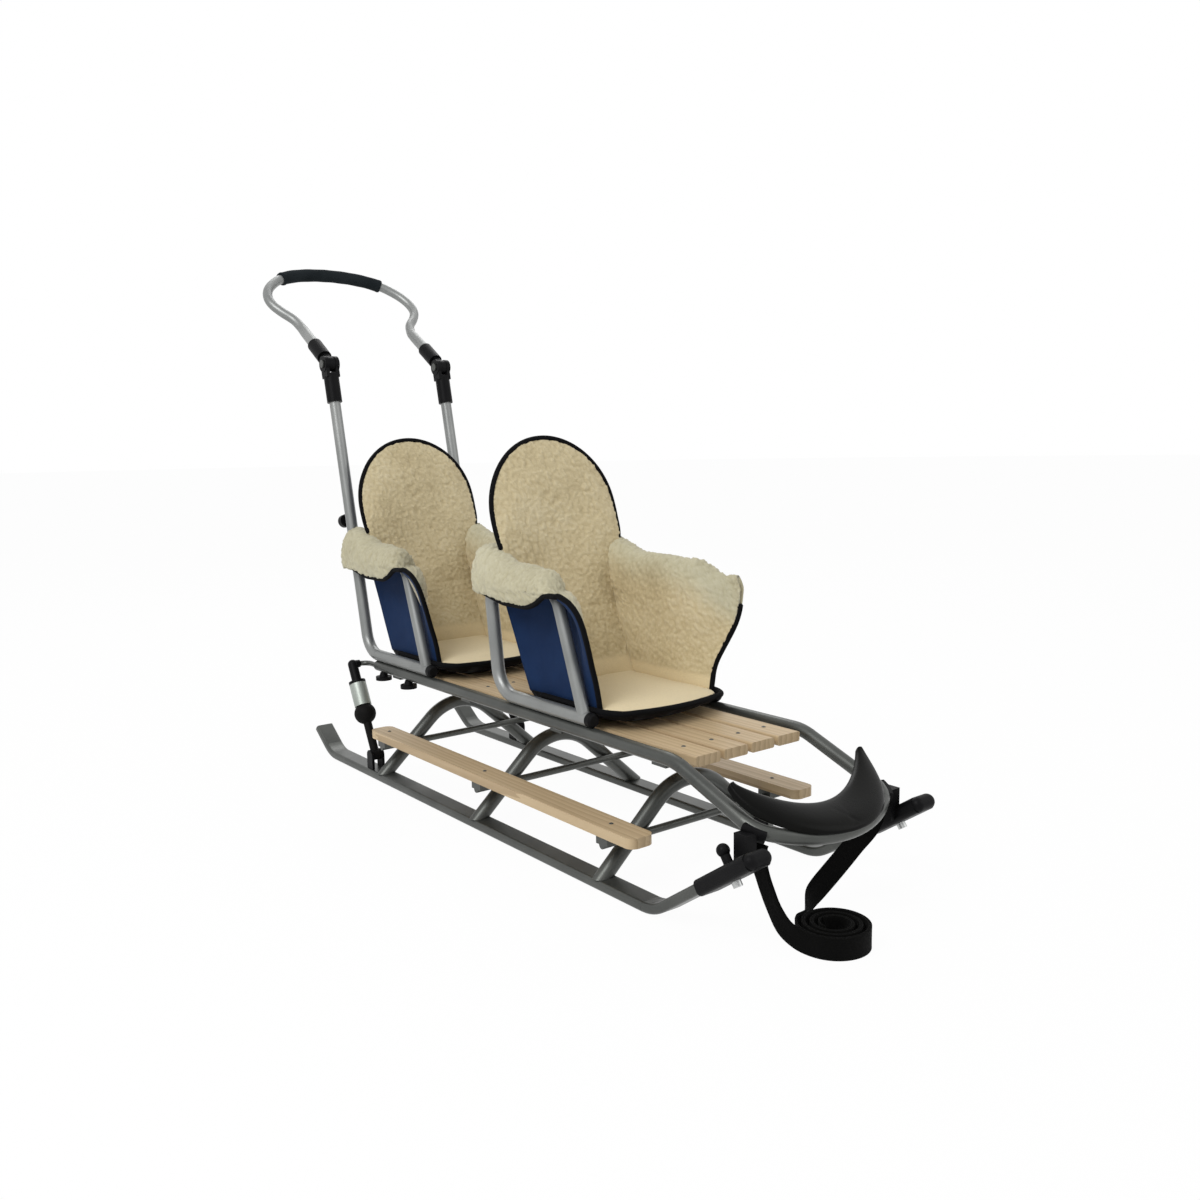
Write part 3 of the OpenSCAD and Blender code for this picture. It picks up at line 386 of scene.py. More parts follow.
def tapeFinish(name, low, high, ribs):
    # webbing and binding tape: ribs across the run (UV u in metres), edge cords along it
    sheen = {"Sheen Weight": 0.01, "Sheen Roughness": 0.4}
    m, t, b = startFinish(name, {"Roughness": 0.75, "Specular IOR Level": 0.04, **sheen})
    uv = add(t, "ShaderNodeUVMap", {"uv_map": "run"}).outputs["UV"]
    where = add(t, "ShaderNodeMapping", Vector=uv, Scale=(ribs, 24.0, 1.0)).outputs["Vector"]
    rib = blend(t, (wave(t, where, "X", 1.0, 0.4), 0.6), (wave(t, where, "Y", 0.6, 0.4), 0.4))
    t.links.new(ramp(t, rib, [(0.2, low), (0.9, high)]), b.inputs["Base Color"])
    bump(t, b, rib, 0.5, 0.0006)
    return m


def zincFinish(name):
    # plated steel: bright grey, spangled, brushed roughness
    m, t, b = startFinish(name, {"Metallic": 1.0})
    where = stretched(t)
    spangle = add(t, "ShaderNodeTexVoronoi", Vector=where, Scale=260.0).outputs["Distance"]
    slow = noise(t, where, 40.0, 4.0)
    both = blend(t, (spangle, 0.4), (slow, 0.6))
    t.links.new(ramp(t, both, [(0.2, (0.36, 0.37, 0.37)), (0.7, (0.62, 0.63, 0.62))]), b.inputs["Base Color"])
    t.links.new(between(t, slow, 0.25, 0.2), b.inputs["Roughness"])
    bump(t, b, slow, 0.1, 0.0005)
    return m


steelGrey = paintFinish("steelGrey", (0.052, 0.055, 0.051), (0.094, 0.098, 0.091), 0.6)
steelLight = paintFinish("steelLight", (0.19, 0.197, 0.193), (0.285, 0.292, 0.286), 0.55, 0.38)
pineWood = pineFinish("pineWood", (0.55, 0.42, 0.25), (0.475, 0.35, 0.203), (0.35, 0.245, 0.13))
blackMoulded = mouldedFinish("blackMoulded", (0.0035, 0.0035, 0.004), (0.008, 0.008, 0.0085), 0.42, 900.0)
blackRubber = mouldedFinish("blackRubber", (0.004, 0.004, 0.004), (0.009, 0.0085, 0.008), 0.62, 500.0)
gripFoam = mouldedFinish("gripFoam", (0.009, 0.012, 0.014), (0.020, 0.025, 0.028), 0.85, 700.0, 0.5)
padVinyl = mouldedFinish("padVinyl", (0.0014, 0.0015, 0.0012), (0.0032, 0.0032, 0.0026), 0.30, 620.0, 0.22, 0.03)
zincPlate = zincFinish("zincPlate")
housingGrey = paintFinish("housingGrey", (0.30, 0.33, 0.30), (0.42, 0.45, 0.42), 0.5, 0.4)
fleeceWool = fleeceFinish(
    "fleeceWool",
    wool=[(0.42, 0.34, 0.195), (0.575, 0.485, 0.30), (0.70, 0.62, 0.43)],
    roll=[(0.40, 0.36, 0.235), (0.50, 0.465, 0.325), (0.60, 0.57, 0.43)],
    flatTone=(0.72, 0.61, 0.395),
)
navyCloth = clothFinish("navyCloth", (0.004, 0.014, 0.050), (0.009, 0.028, 0.085), 330.0)
edgeCloth = clothFinish("edgeCloth", (0.0025, 0.0025, 0.003), (0.007, 0.007, 0.0085), 330.0)
bindingTape = tapeFinish("bindingTape", (0.003, 0.003, 0.0035), (0.009, 0.009, 0.010), 2600.0)
strapWeb = tapeFinish("strapWeb", (0.0015, 0.0015, 0.0015), (0.006, 0.006, 0.0055), 1800.0)
print("finishes made")

# CAD nodes that keep their shape take the finer finishes
nodeFinish = {
    steelGrey: [
        "runner_right", "runner_left", "arch_rear", "arch_middle", "arch_front", "footrest_bar_rear",
        "footrest_bar_middle", "footrest_bar_front", "deck_hoop", "deck_bearers", "strut_rods", "hinge_pins",
    ],
    steelLight: [
        "seat_frame_front_right", "seat_frame_front_left", "seat_frame_rear_right", "seat_frame_rear_left",
        "handle_upright_right", "handle_upright_left",
    ],
    pineWood: ["footrest_right", "footrest_left", "slat_1", "slat_2", "slat_3", "slat_4"],
    blackMoulded: [
        "front_sleeve_right", "front_sleeve_left", "sleeve_knobs", "frame_caps", "rail_knobs", "clamp_knobs",
        "hinge_fork_right", "hinge_fork_left", "hinge_tongue_right", "hinge_tongue_left", "strut_elbows", "strut_forks",
    ],
    zincPlate: ["sleeve_bolts"],
    housingGrey: ["strut_housings"],
    blackRubber: ["strut_boots"],
}
for finish, names in nodeFinish.items():
    for n in names:
        mesh = nodes[n].data
        mesh.materials.clear()
        mesh.materials.append(finish)
print("node finishes set")

# tow strap: two halves of one webbing, each from its corner to the roll on the floor
# rows: place of the middle in mm, then the direction of the width
strapSet = {
    "shift": 0.55737, "width": 0.030, "thick": 0.0026, "rows": 260,
    "centre": (0.210, -0.055), "start": 0.0497, "pitch": 0.0107, "turns": 3.0, "perTurn": 40,
    "section": [
        (-1, -0.4), (-0.97, -1), (-0.5, -0.9), (0, -0.9), (0.5, -0.9), (0.97, -1), (1, -0.4),
        (1, 0.4), (0.97, 1), (0.5, 0.9), (0, 0.9), (-0.5, 0.9), (-0.97, 1), (-1, 0.4),
    ],
    "right": [
        (139.4, -122.3, 131.9, 0.79, 0.53, -0.3), (138.2, -123.2, 125, 0.79, 0.5, -0.3), (139, -122, 112, 0.83, 0.15, 0),
        (145, -120, 92, 0.85, -0.08, 0.15), (154, -119, 71, 0.83, -0.1, 0.2), (166, -118.5, 50, 0.75, -0.1, 0.45),
        (181, -116, 30, 0.6, 0, 0.8), (197, -110, 19, 0.2, 0, 1), (212, -104.7, 15, 0, 0, 1),
    ],
    "left": [
        (139.4, 122.3, 131.9, -0.79, 0.53, 0.3), (138.2, 122.6, 125, -0.79, 0.53, 0.3), (137.5, 116, 114, -0.8, 0.15, 0.45),
        (136, 101, 97, -0.65, -0.25, 0.6), (131, 82, 79, -0.49, -0.49, 0.63), (126, 60, 59, -0.49, -0.49, 0.63),
        (122, 38, 41, -0.49, -0.49, 0.63), (121, 16, 27, -0.4, -0.35, 0.75), (126, -6, 19, -0.2, -0.15, 0.9),
        (140, -30, 15, 0, 0, 1), (160.4, -51, 15, 0, 0, 1),
    ],
}


def strapHalf(name, rows, startAngle, hides):
    # free run through the rows, then a flat spiral whose radius falls by one pitch a turn
    # the width follows the rows, then stands upright
    s = strapSet
    free = np.array(rows, float)
    free[:, :3] /= 1000
    ang = np.radians(startAngle) + np.linspace(0, 2 * np.pi * s["turns"], int(s["perTurn"] * s["turns"]))
    r = s["start"] - s["pitch"] * (ang - ang[0]) / (2 * np.pi)
    coil = np.zeros((len(ang), 6))
    coil[:, 0] = s["centre"][0] + r * np.cos(ang)
    coil[:, 1] = s["centre"][1] + r * np.sin(ang)
    coil[:, 2], coil[:, 5] = s["width"] / 2, 1
    run = throughPoints(np.vstack([free, coil[2:]]), s["rows"])
    path = run[:, :3] + np.array([s["shift"], 0, 0])
    ring = np.array(s["section"]) * np.array([s["width"] / 2, s["thick"] / 2])
    obj = rope(name, path, None, strapWeb, across=run[:, 3:6], section=ring)
    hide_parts(*hides)


strapHalf("strapRight", strapSet["right"], -90, ["tow_strap_right", "tow_strap_roll"])
strapHalf("strapLeft", strapSet["left"], 180, ["tow_strap_left"])

# seats: places are measured from the base's rear edge, in metres
seatSet = {
    "foot": (-0.002, 0.2496), "knee": (-0.054, 0.368), "top": (-0.1037, 0.650), "kneeRound": 0.012, "backThick": 0.027,
    "low": 0.229, "lowHalf": 0.109, "topHalf": 0.131, "middle": 0.43, "skin": 0.004, "inset": 0.0006,
    "rings": 22, "around": 180, "voxel": 0.005, "cap": 0.0045, "press": 4.0,
    "flatLine": 0.272, "wingFlatLine": 0.262, "pile": 0.0042, "tuft": 0.0072,
    "piping": 0.0042, "pipingInset": 0.0036, "pipingLow": 0.466,
}
seatPlace = {name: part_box(name + "_base")[0].x for name in ("front_seat", "rear_seat")}
print("seat places", seatPlace)


def backLine(z):
    # x of the back's front face: straight from foot to knee to top, eased at the knee
    s = seatSet
    low = s["foot"][0] + (z - s["foot"][1]) * (s["knee"][0] - s["foot"][0]) / (s["knee"][1] - s["foot"][1])
    high = s["knee"][0] + (z - s["knee"][1]) * (s["top"][0] - s["knee"][0]) / (s["top"][1] - s["knee"][1])
    k = s["kneeRound"]
    return 0.5 * (low + high + np.sqrt((low - high) ** 2 + k * k)) - 0.25 * k


def sideForward(z):
    # how far the sides stand before the middle: most beside the arm rolls
    return 0.010 + 0.012 * np.exp(-((z - 0.455) / 0.05) ** 2)


def backOutline(count, inset):
    # y, z round the back: straight lower sides, an S into a half circle on top
    s = seatSet
    w0, w1 = s["lowHalf"] - inset, s["topHalf"] - inset
    zc = s["top"][1] - s["topHalf"]
    z0 = s["low"] + inset
    side = np.array([
        (0, z0), (0.6 * w0, z0), (w0 - 0.004, z0 + 0.001), (w0, z0 + 0.008), (w0, 0.33), (w0, 0.40),
        (w0 + 0.004, 0.432), (w0 + 0.5 * (w1 - w0), 0.452), (w1 - 0.002, 0.476), (w1, zc),
    ])
    a = np.radians(np.linspace(12, 90, 9))
    arc = np.stack([w1 * np.cos(a), zc + w1 * np.sin(a)], axis=1)
    half = np.vstack([side, arc])
    full = np.vstack([half, (half * np.array([-1, 1]))[-2:0:-1], half[:1]])
    return throughPoints(np.column_stack([full, np.zeros(len(full))]), count + 1)[:-1, :2]


clothSet = {"frames": 20, "quality": 5, "mass": 0.3}


def softPad(name, verts, faces, voxel, cap, press, rim):
    # remesh where a voxel is given, then swell by cloth pressure with the seam at the rim held
    # each point's travel is capped, and the result is subdivided once
    mesh = bpy.data.meshes.new(name + "Core")
    mesh.from_pydata(np.asarray(verts).tolist(), [], [list(map(int, f)) for f in faces])
    obj = bpy.data.objects.new(name + "Core", mesh)
    scene.collection.objects.link(obj)
    if voxel:
        mod = obj.modifiers.new("remesh", "REMESH")
        mod.mode, mod.voxel_size = "VOXEL", voxel
        solid = bpy.data.meshes.new_from_object(obj.evaluated_get(bpy.context.evaluated_depsgraph_get()))
        obj.modifiers.clear()
        obj.data = solid
    solid = obj.data
    n = len(solid.vertices)
    rest = np.empty(n * 3)
    solid.vertices.foreach_get("co", rest)
    rest = rest.reshape(-1, 3)
    moved = rest.copy()
    side = np.empty(n * 3)
    solid.vertices.foreach_get("normal", side)
    held = np.flatnonzero(rim(rest, side.reshape(-1, 3)))
    obj.vertex_groups.new(name="seam").add(held.tolist(), 1.0, "REPLACE")
    cloth = obj.modifiers.new("cloth", "CLOTH")
    c = cloth.settings
    c.quality, c.mass = clothSet["quality"], clothSet["mass"]
    c.use_pressure, c.uniform_pressure_force = True, press
    c.vertex_group_mass = "seam"
    c.effector_weights.gravity = 0
    cloth.point_cache.frame_start, cloth.point_cache.frame_end = 1, clothSet["frames"]
    for f in range(1, clothSet["frames"] + 1):
        scene.frame_set(f)
    got = obj.evaluated_get(bpy.context.evaluated_depsgraph_get()).to_mesh()
    flat = np.empty(n * 3)
    got.vertices.foreach_get("co", flat)
    moved = flat.reshape(-1, 3)
    scene.frame_set(1)
    obj.modifiers.clear()
    step = moved - rest
    far = np.linalg.norm(step, axis=1, keepdims=True)
    moved = rest + step * np.minimum(1, cap / np.maximum(far, 1e-9))
    solid.vertices.foreach_set("co", moved.ravel())
    solid.update()
    sub = obj.modifiers.new("sub", "SUBSURF")
    sub.levels = sub.render_levels = 1
    done = bpy.data.meshes.new_from_object(obj.evaluated_get(bpy.context.evaluated_depsgraph_get()))
    bpy.data.objects.remove(obj)
    pts = np.empty(len(done.vertices) * 3)
    done.vertices.foreach_get("co", pts)
    nor = np.empty(len(done.vertices) * 3)
    done.vertices.foreach_get("normal", nor)
    quad = np.empty(len(done.loops), np.int32)
    done.loops.foreach_get("vertex_index", quad)
    print(name, "pad", len(done.vertices), "points, moved up to", round(float(far.max()) * 1000, 1), "mm")
    return pts.reshape(-1, 3), nor.reshape(-1, 3), quad.reshape(-1, 4)


def discFaces(rings, cols):
    # rings of points between two poles
    faces = (gridFaces(rings, cols, wrapCols=True) + 1).tolist()
    last = rings * cols + 1
    faces += [[0, 1 + (j + 1) % cols, 1 + j] for j in range(cols)]
    faces += [[last, last - cols + j, last - cols + (j + 1) % cols] for j in range(cols)]
    return faces


def backCore():
    # rings shrink from the outline to a middle point, once in front and once behind
    # half the thickness falls off at the rim like a sixth-power oval
    s = seatSet
    n = s["rings"]
    edge = backOutline(s["around"], s["inset"])
    mid = np.array([0.0, s["middle"]])
    rho = np.concatenate([np.linspace(0.05, 1, n), np.linspace(1, 0.05, n)[1:]])
    front = np.concatenate([np.ones(n), -np.ones(n - 1)])
    yz = mid + rho[:, None, None] * (edge[None] - mid)
    half = (s["backThick"] / 2 - s["skin"]) * np.power(np.clip(1 - rho ** 6, 0, 1), 0.5)[:, None] * front[:, None]
    y, z = yz[..., 0], yz[..., 1]
    x = backLine(z) - s["backThick"] / 2 + sideForward(z) * (y / s["topHalf"]) ** 2 + half
    pts = np.stack([x, y, z], axis=-1).reshape(-1, 3)
    x = backLine(mid[1])
    verts = np.vstack([[[x - s["skin"], 0, mid[1]]], pts, [[x - s["backThick"] + s["skin"], 0, mid[1]]]])
    return verts, turnOut(verts, discFaces(2 * n - 1, s["around"]))


def pileOn(pts, nor, mask, high, size):
    # points rise along their normals by the tuft height, less where the mask is low
    tuft = 0.62 * tufts(pts, size) + 0.38 * tufts(pts, size * 0.6, 3.0)
    return pts + nor * (high * (tuft - 0.35) * mask)[:, None], tuft


def longPile(z, line, soft):
    # 0 below the line, 1 above it
    return ease(line - soft, line + soft, z)


backPts, backNor, backQuad = softPad(
    "seatBack", *backCore(), voxel=seatSet["voxel"], cap=seatSet["cap"], press=seatSet["press"],
    rim=lambda p, n: np.abs(n[:, 0]) < 0.5,
)


def seatBack(seat):
    s = seatSet
    pts, nor = backPts.copy(), backNor
    front = ease(0.15, 0.65, nor[:, 0])
    wool = longPile(pts[:, 2] + 0.004 * waves(pts, 0.02), s["flatLine"], 0.006) * front
    pts, tuft = pileOn(pts, nor, wool, s["pile"], s["tuft"])
    pts[:, 0] += 0.0025 * waves(pts, 0.035, 1.0) * front
    cover = (nor[backQuad].mean(axis=1)[:, 0] < 0.2).astype(int)
    pts[:, 0] += seatPlace[seat]
    values = {
        "pile": tuft * wool + 0.35 * (1 - wool), "flat": 1 - longPile(pts[:, 2], s["flatLine"], 0.006),
        "roll": np.zeros(len(pts)),
    }
    finishes = [fleeceWool, navyCloth]
    obj = makePiece(seat + "BackPad", pts, backQuad, finishes, faceFinish=cover, values=values)
    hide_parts(seat + "_back")
    # piping on the rim, from one arm roll over the top to the other
    rim = backOutline(400, s["pipingInset"])
    keep = rim[rim[:, 1] > s["pipingLow"]]
    keep = keep[np.argsort(np.unwrap(np.arctan2(keep[:, 1] - 0.5, keep[:, 0])))]
    y, z = keep.T
    x = backLine(z) - 0.50 * s["backThick"] + sideForward(z) * (y / s["topHalf"]) ** 2 + seatPlace[seat]
    path = throughPoints(np.column_stack([x, keep])[::6], 220)
    rope(seat + "BackPiping", path, s["piping"], bindingTape)


for seat in seatPlace:
    seatBack(seat)
print("seat backs done")

# bases: x from the base's rear edge, y from the middle, z from the floor
baseSet = {
    "half": 0.113, "rear": -0.020, "front": 0.204, "bow": 0.025, "corner": 0.008, "middle": 0.105,
    "low": 0.2125, "rim": 0.2395, "high": 0.2475, "skin": 0.003, "inset": 0.002,
    "rings": 18, "around": 150, "voxel": 0.005, "cap": 0.004, "press": 4.0, "pile": 0.0008, "tuft": 0.0045,
    "wingInside": 0.1065, "piping": 0.0046, "pipingOut": 0.0035, "pipingRear": 0.03,
}


def baseOutline(count, inset):
    # x, y round the base: straight sides, rounded rear corners, a bowed front
    b = baseSet
    h, f, c = b["half"] - inset, b["front"] - inset, b["corner"]
    yy = np.linspace(-0.86, 0.86, 9)
    nose = np.stack([f + b["bow"] * np.cos(yy * np.pi / 2) ** 0.8, yy * h], axis=1)
    r = b["rear"] + inset
    back = [
        (f * 0.86, h), (f * 0.5, h), (r + c, h), (r + c * 0.3, h - c * 0.3), (r, h - c), (r, 0),
        (r, c - h), (r + c * 0.3, c * 0.3 - h), (r + c, -h), (f * 0.5, -h), (f * 0.86, -h),
    ]
    full = np.vstack([nose, back, nose[:1]])
    return throughPoints(np.column_stack([full, np.zeros(len(full))]), count + 1)[:-1, :2]


def baseCore():
    # rings from the outline to the middle above and below; the top is crowned, the rim rounded
    b = baseSet
    n, low, high = b["rings"], b["low"] + b["skin"], b["high"] - b["skin"]
    edge = baseOutline(b["around"], b["inset"])
    mid = np.array([b["middle"], 0.0])
    rho = np.concatenate([np.linspace(0.05, 1, n), np.linspace(1, 0.05, n)[1:]])
    up = np.concatenate([np.ones(n), -np.ones(n - 1)])
    xy = mid + rho[:, None, None] * (edge[None] - mid)
    over = b["rim"] + (high - b["rim"]) * np.sqrt(np.clip(1 - rho ** 10, 0, 1))
    below = b["rim"] - (b["rim"] - low) * np.sqrt(np.clip(1 - rho ** 6, 0, 1))
    z = np.where(up > 0, over, below)[:, None] + 0 * xy[..., 0]
    pts = np.stack([xy[..., 0], xy[..., 1], z], axis=-1).reshape(-1, 3)
    verts = np.vstack([[[mid[0], 0, high]], pts, [[mid[0], 0, low]]])
    return verts, turnOut(verts, discFaces(2 * n - 1, b["around"]))


basePts, baseNor, baseQuad = softPad(
    "seatBase", *baseCore(), voxel=baseSet["voxel"], cap=baseSet["cap"], press=baseSet["press"],
    rim=lambda p, n: np.abs(n[:, 2]) < 0.5,
)


def seatBase(seat):
    b = baseSet
    pts, nor = basePts.copy(), baseNor
    pts[:, 2] = np.maximum(pts[:, 2], b["low"] - 0.0005)  # it rests on the slats
    top = ease(-0.2, 0.4, nor[:, 2])
    pts, tuft = pileOn(pts, nor, top, b["pile"], b["tuft"])
    pts[:, 0] += seatPlace[seat]
    up = nor[baseQuad].mean(axis=1)[:, 2]
    past = np.abs(pts[baseQuad].mean(axis=1)[:, 1]) > b["wingInside"]
    kind = np.where(up < -0.97, 1, np.where((up < 0.8) | past, 2, 0))
    finishes = [fleeceWool, navyCloth, edgeCloth]
    values = {"pile": tuft, "flat": np.ones(len(pts)), "roll": np.zeros(len(pts))}
    obj = makePiece(seat + "BasePad", pts, baseQuad, finishes, faceFinish=kind, values=values)
    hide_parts(seat + "_base")
    rim = baseOutline(300, -b["pipingOut"])
    keep = rim[rim[:, 0] > b["pipingRear"]]
    keep = keep[np.argsort(np.arctan2(keep[:, 1], keep[:, 0] - 0.05))]
    level = np.full(len(keep), b["rim"])
    path = throughPoints(np.column_stack([keep[:, 0] + seatPlace[seat], keep[:, 1], level])[::5], 200)
    rope(seat + "BasePiping", path, b["piping"], bindingTape)


for seat in seatPlace:
    seatBase(seat)
print("seat bases done")

# wings: one sheet each side, fleece inside and folded out over the arm tube, navy outside
wingSet = {
    "stations": 150, "around": 120, "fleeceSide": 0.0045, "clothSide": 0.0028, "front": 0.196, "foot": 0.237,
    "rear": {"front_seat": -0.121, "rear_seat": -0.136}, "closing": 0.024, "core": (0.128, 0.412), "fleeceRows": 14,
    "pile": 0.0044, "fluff": 0.7, "tuft": 0.0072, "fineTuft": 0.0045, "noseRound": 0.048, "noseCentre": (0.132, 0.364),
    "binding": 0.0044, "flapBinding": 0.0040, "bindingTop": 0.378,
    "roll": [
        (0.107, 0.237), (0.106, 0.300), (0.104, 0.350), (0.1005, 0.395), (0.1025, 0.425),
        (0.116, 0.4415), (0.136, 0.4415), (0.1515, 0.428), (0.1568, 0.409), (0.154, 0.387),
    ],
    "hump": [
        (0.108, 0.237), (0.1075, 0.300), (0.107, 0.350), (0.107, 0.392), (0.111, 0.420),
        (0.122, 0.4385), (0.137, 0.4415), (0.149, 0.434), (0.1555, 0.423), (0.157, 0.410),
    ],
    "frontNear": [
        (0.110, 0.237), (0.118, 0.280), (0.128, 0.310), (0.138, 0.340), (0.147, 0.370),
        (0.152, 0.392), (0.155, 0.406), (0.1565, 0.412), (0.1575, 0.4125), (0.1582, 0.412),
    ],
    "frontFar": [
        (0.110, 0.237), (0.118, 0.280), (0.128, 0.310), (0.139, 0.345), (0.147, 0.378),
        (0.1500, 0.397), (0.1515, 0.410), (0.1525, 0.418), (0.1532, 0.4215), (0.1538, 0.423),
    ],
}


def wingSection(name):
    rows = np.array(wingSet[name])
    return throughPoints(np.column_stack([rows, np.zeros(len(rows))]), wingSet["around"])[:, :2]


def wingSheet(seat, side):
    # middle line of the sheet at each station x: three of the drawn sections mixed along x, the foot rising behind
    # it is offset to both sides and lofted
    w = wingSet
    n, m, rear, floor = w["stations"], w["around"], w["rear"][seat], w["foot"]
    s = np.linspace(0, 1, n)
    x = rear + s * (w["front"] - rear)
    a = ease(0.050, 0.150, x)[:, None, None]
    b = ease(0.125, 0.192, x)[:, None, None]
    tip = wingSection("frontNear" if side < 0 else "frontFar")
    line = (1 - a) * wingSection("roll") + a * ((1 - b) * wingSection("hump") + b * tip)
    foot = np.clip(0.365 - (x + 0.076) * 1.88, floor, 0.392)
    line[..., 1] += (foot - floor)[:, None] * np.clip(1 - (line[..., 1] - floor) / 0.163, 0, 1)
    t = np.linspace(0, 1, m)
    crown = ease(0.45, 0.62, t) * (1 - ease(0.80, 0.97, t))
    line[..., 1] += (0.026 * ease(0.005, -0.095, x))[:, None] * crown[None]
    line[..., 0] -= (0.004 * ease(-0.02, -0.10, x))[:, None] * ease(0.3, 0.6, t)[None]
    d = unit(np.gradient(line, axis=1))
    out = np.stack([-d[..., 1], d[..., 0]], axis=-1)  # to the fleece side
    ends = np.sqrt(np.clip(1 - np.abs(2 * t - 1) ** 24, 0.03, 1))[None]
    fleece = line + out * (w["fleeceSide"] * ends)[..., None]
    cloth = line - out * (w["clothSide"] * ends)[..., None]
    close = np.sqrt(np.clip(1 - (1 - np.clip((x - rear) / w["closing"], 0, 1)) ** 2, 0.0, 1))[:, None]
    shrink = (0.08 + 0.92 * close)[..., None]  # the rear end closes towards the arm tube
    core = np.array(w["core"])
    fleece, cloth = core + (fleece - core) * shrink, core + (cloth - core) * shrink
    loop = np.concatenate([fleece, cloth[:, ::-1]], axis=1)
    z = loop[..., 1]
    if side < 0:
        r, (cx, cz) = w["noseRound"], w["noseCentre"]
        low = 0.172 + 0.008 * ease(0.275, 0.355, z)
        arc = np.sqrt(np.clip(r ** 2 - np.clip(z - cz, 0, r) ** 2, 0, 1))
        nose = np.where(z < cz, low, cx + arc)  # front edge by height, a quarter round on top
    else:
        nose = 0.183 + 0.029 * ease(0.265, 0.372, z) - 0.020 * ease(0.400, 0.440, z)
    px = rear + s[:, None] * (nose - rear)
    pts = np.stack([px, side * loop[..., 0], z], axis=-1)
    ru, rv = np.gradient(pts, axis=0), np.gradient(pts, axis=1)
    nor = unit(np.cross(ru, rv)) * side
    flatPts, flatNor = pts.reshape(-1, 3), nor.reshape(-1, 3)
    onFleece = np.zeros((n, 2 * m))
    onFleece[:, :m] = np.sqrt(ends)
    long = longPile(z, seatSet["wingFlatLine"], 0.005)
    wool = (onFleece * long).ravel()
    rolled = np.tile(ease(0.50, 0.74, np.concatenate([t, t[::-1]])), n)
    world = flatPts + np.array([seatPlace[seat], 0, 0])
    tuft = 0.62 * tufts(world, w["tuft"]) + 0.38 * tufts(world, w["fineTuft"], 3.0)
    world = world + flatNor * (w["pile"] * (1 + w["fluff"] * rolled) * (tuft - 0.35) * wool)[:, None]
    faces = gridFaces(n, 2 * m, wrapCols=True).tolist()
    faces += [list(range(2 * m)), list(range((n - 1) * 2 * m, n * 2 * m))[::-1]]
    kind = np.tile(np.concatenate([np.zeros(m - 1, int), np.ones(m + 1, int)]), n - 1)
    kind[:w["fleeceRows"] * 2 * m] = 0  # the roll's closed rear end is fleece all round
    kind = np.concatenate([kind, [0, 0]])
    word = "Right" if side < 0 else "Left"
    values = {"pile": tuft * wool + 0.35 * (1 - wool), "flat": 1 - long.ravel(), "roll": rolled}
    finishes = [fleeceWool, navyCloth]
    faces = turnOut(world, faces)
    obj = makePiece(seat + "Wing" + word, world, faces, finishes, faceFinish=kind, values=values)
    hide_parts(seat + "_wing_" + word.lower())
    # binding: along the flap's free edge to the front, then down the front edge to the base
    shift = np.array([seatPlace[seat], 0, 0])
    middle = 0.5 * (pts[:, :m] + pts[:, ::-1][:, :m])
    flap, front = middle[10:, -1] + shift, middle[-1, ::-1] + shift
    if side < 0:
        edge = throughPoints(np.vstack([flap, front[1:]])[::4], 260)
    else:
        edge = throughPoints(front[front[:, 2] < w["bindingTop"]][::4], 160)
        free = throughPoints(flap[:-34:4], 160)
        rope(seat + "FlapBinding" + word, free, w["flapBinding"], bindingTape)
    rope(seat + "Binding" + word, edge, w["binding"], bindingTape)


for seat in seatPlace:
    for side in (-1, 1):
        wingSheet(seat, side)
print("wings done")

# bumper pad: q runs from horn to horn, s from its outer to its inner edge, in the plane of the hoop
padSet = {
    "bend": (0.54737, 0.206), "tilt": 21.0, "off": 0.0104, "length": 0.223, "side": 0.134, "depth": 0.063,
    "hornX": 0.102, "hornReach": 0.122, "hornRise": 0.016, "edge": 0.003, "thick": 0.0105, "square": 0.62,
    "cap": 0.0022, "press": 4.0, "steps": 120, "around": 56,
}


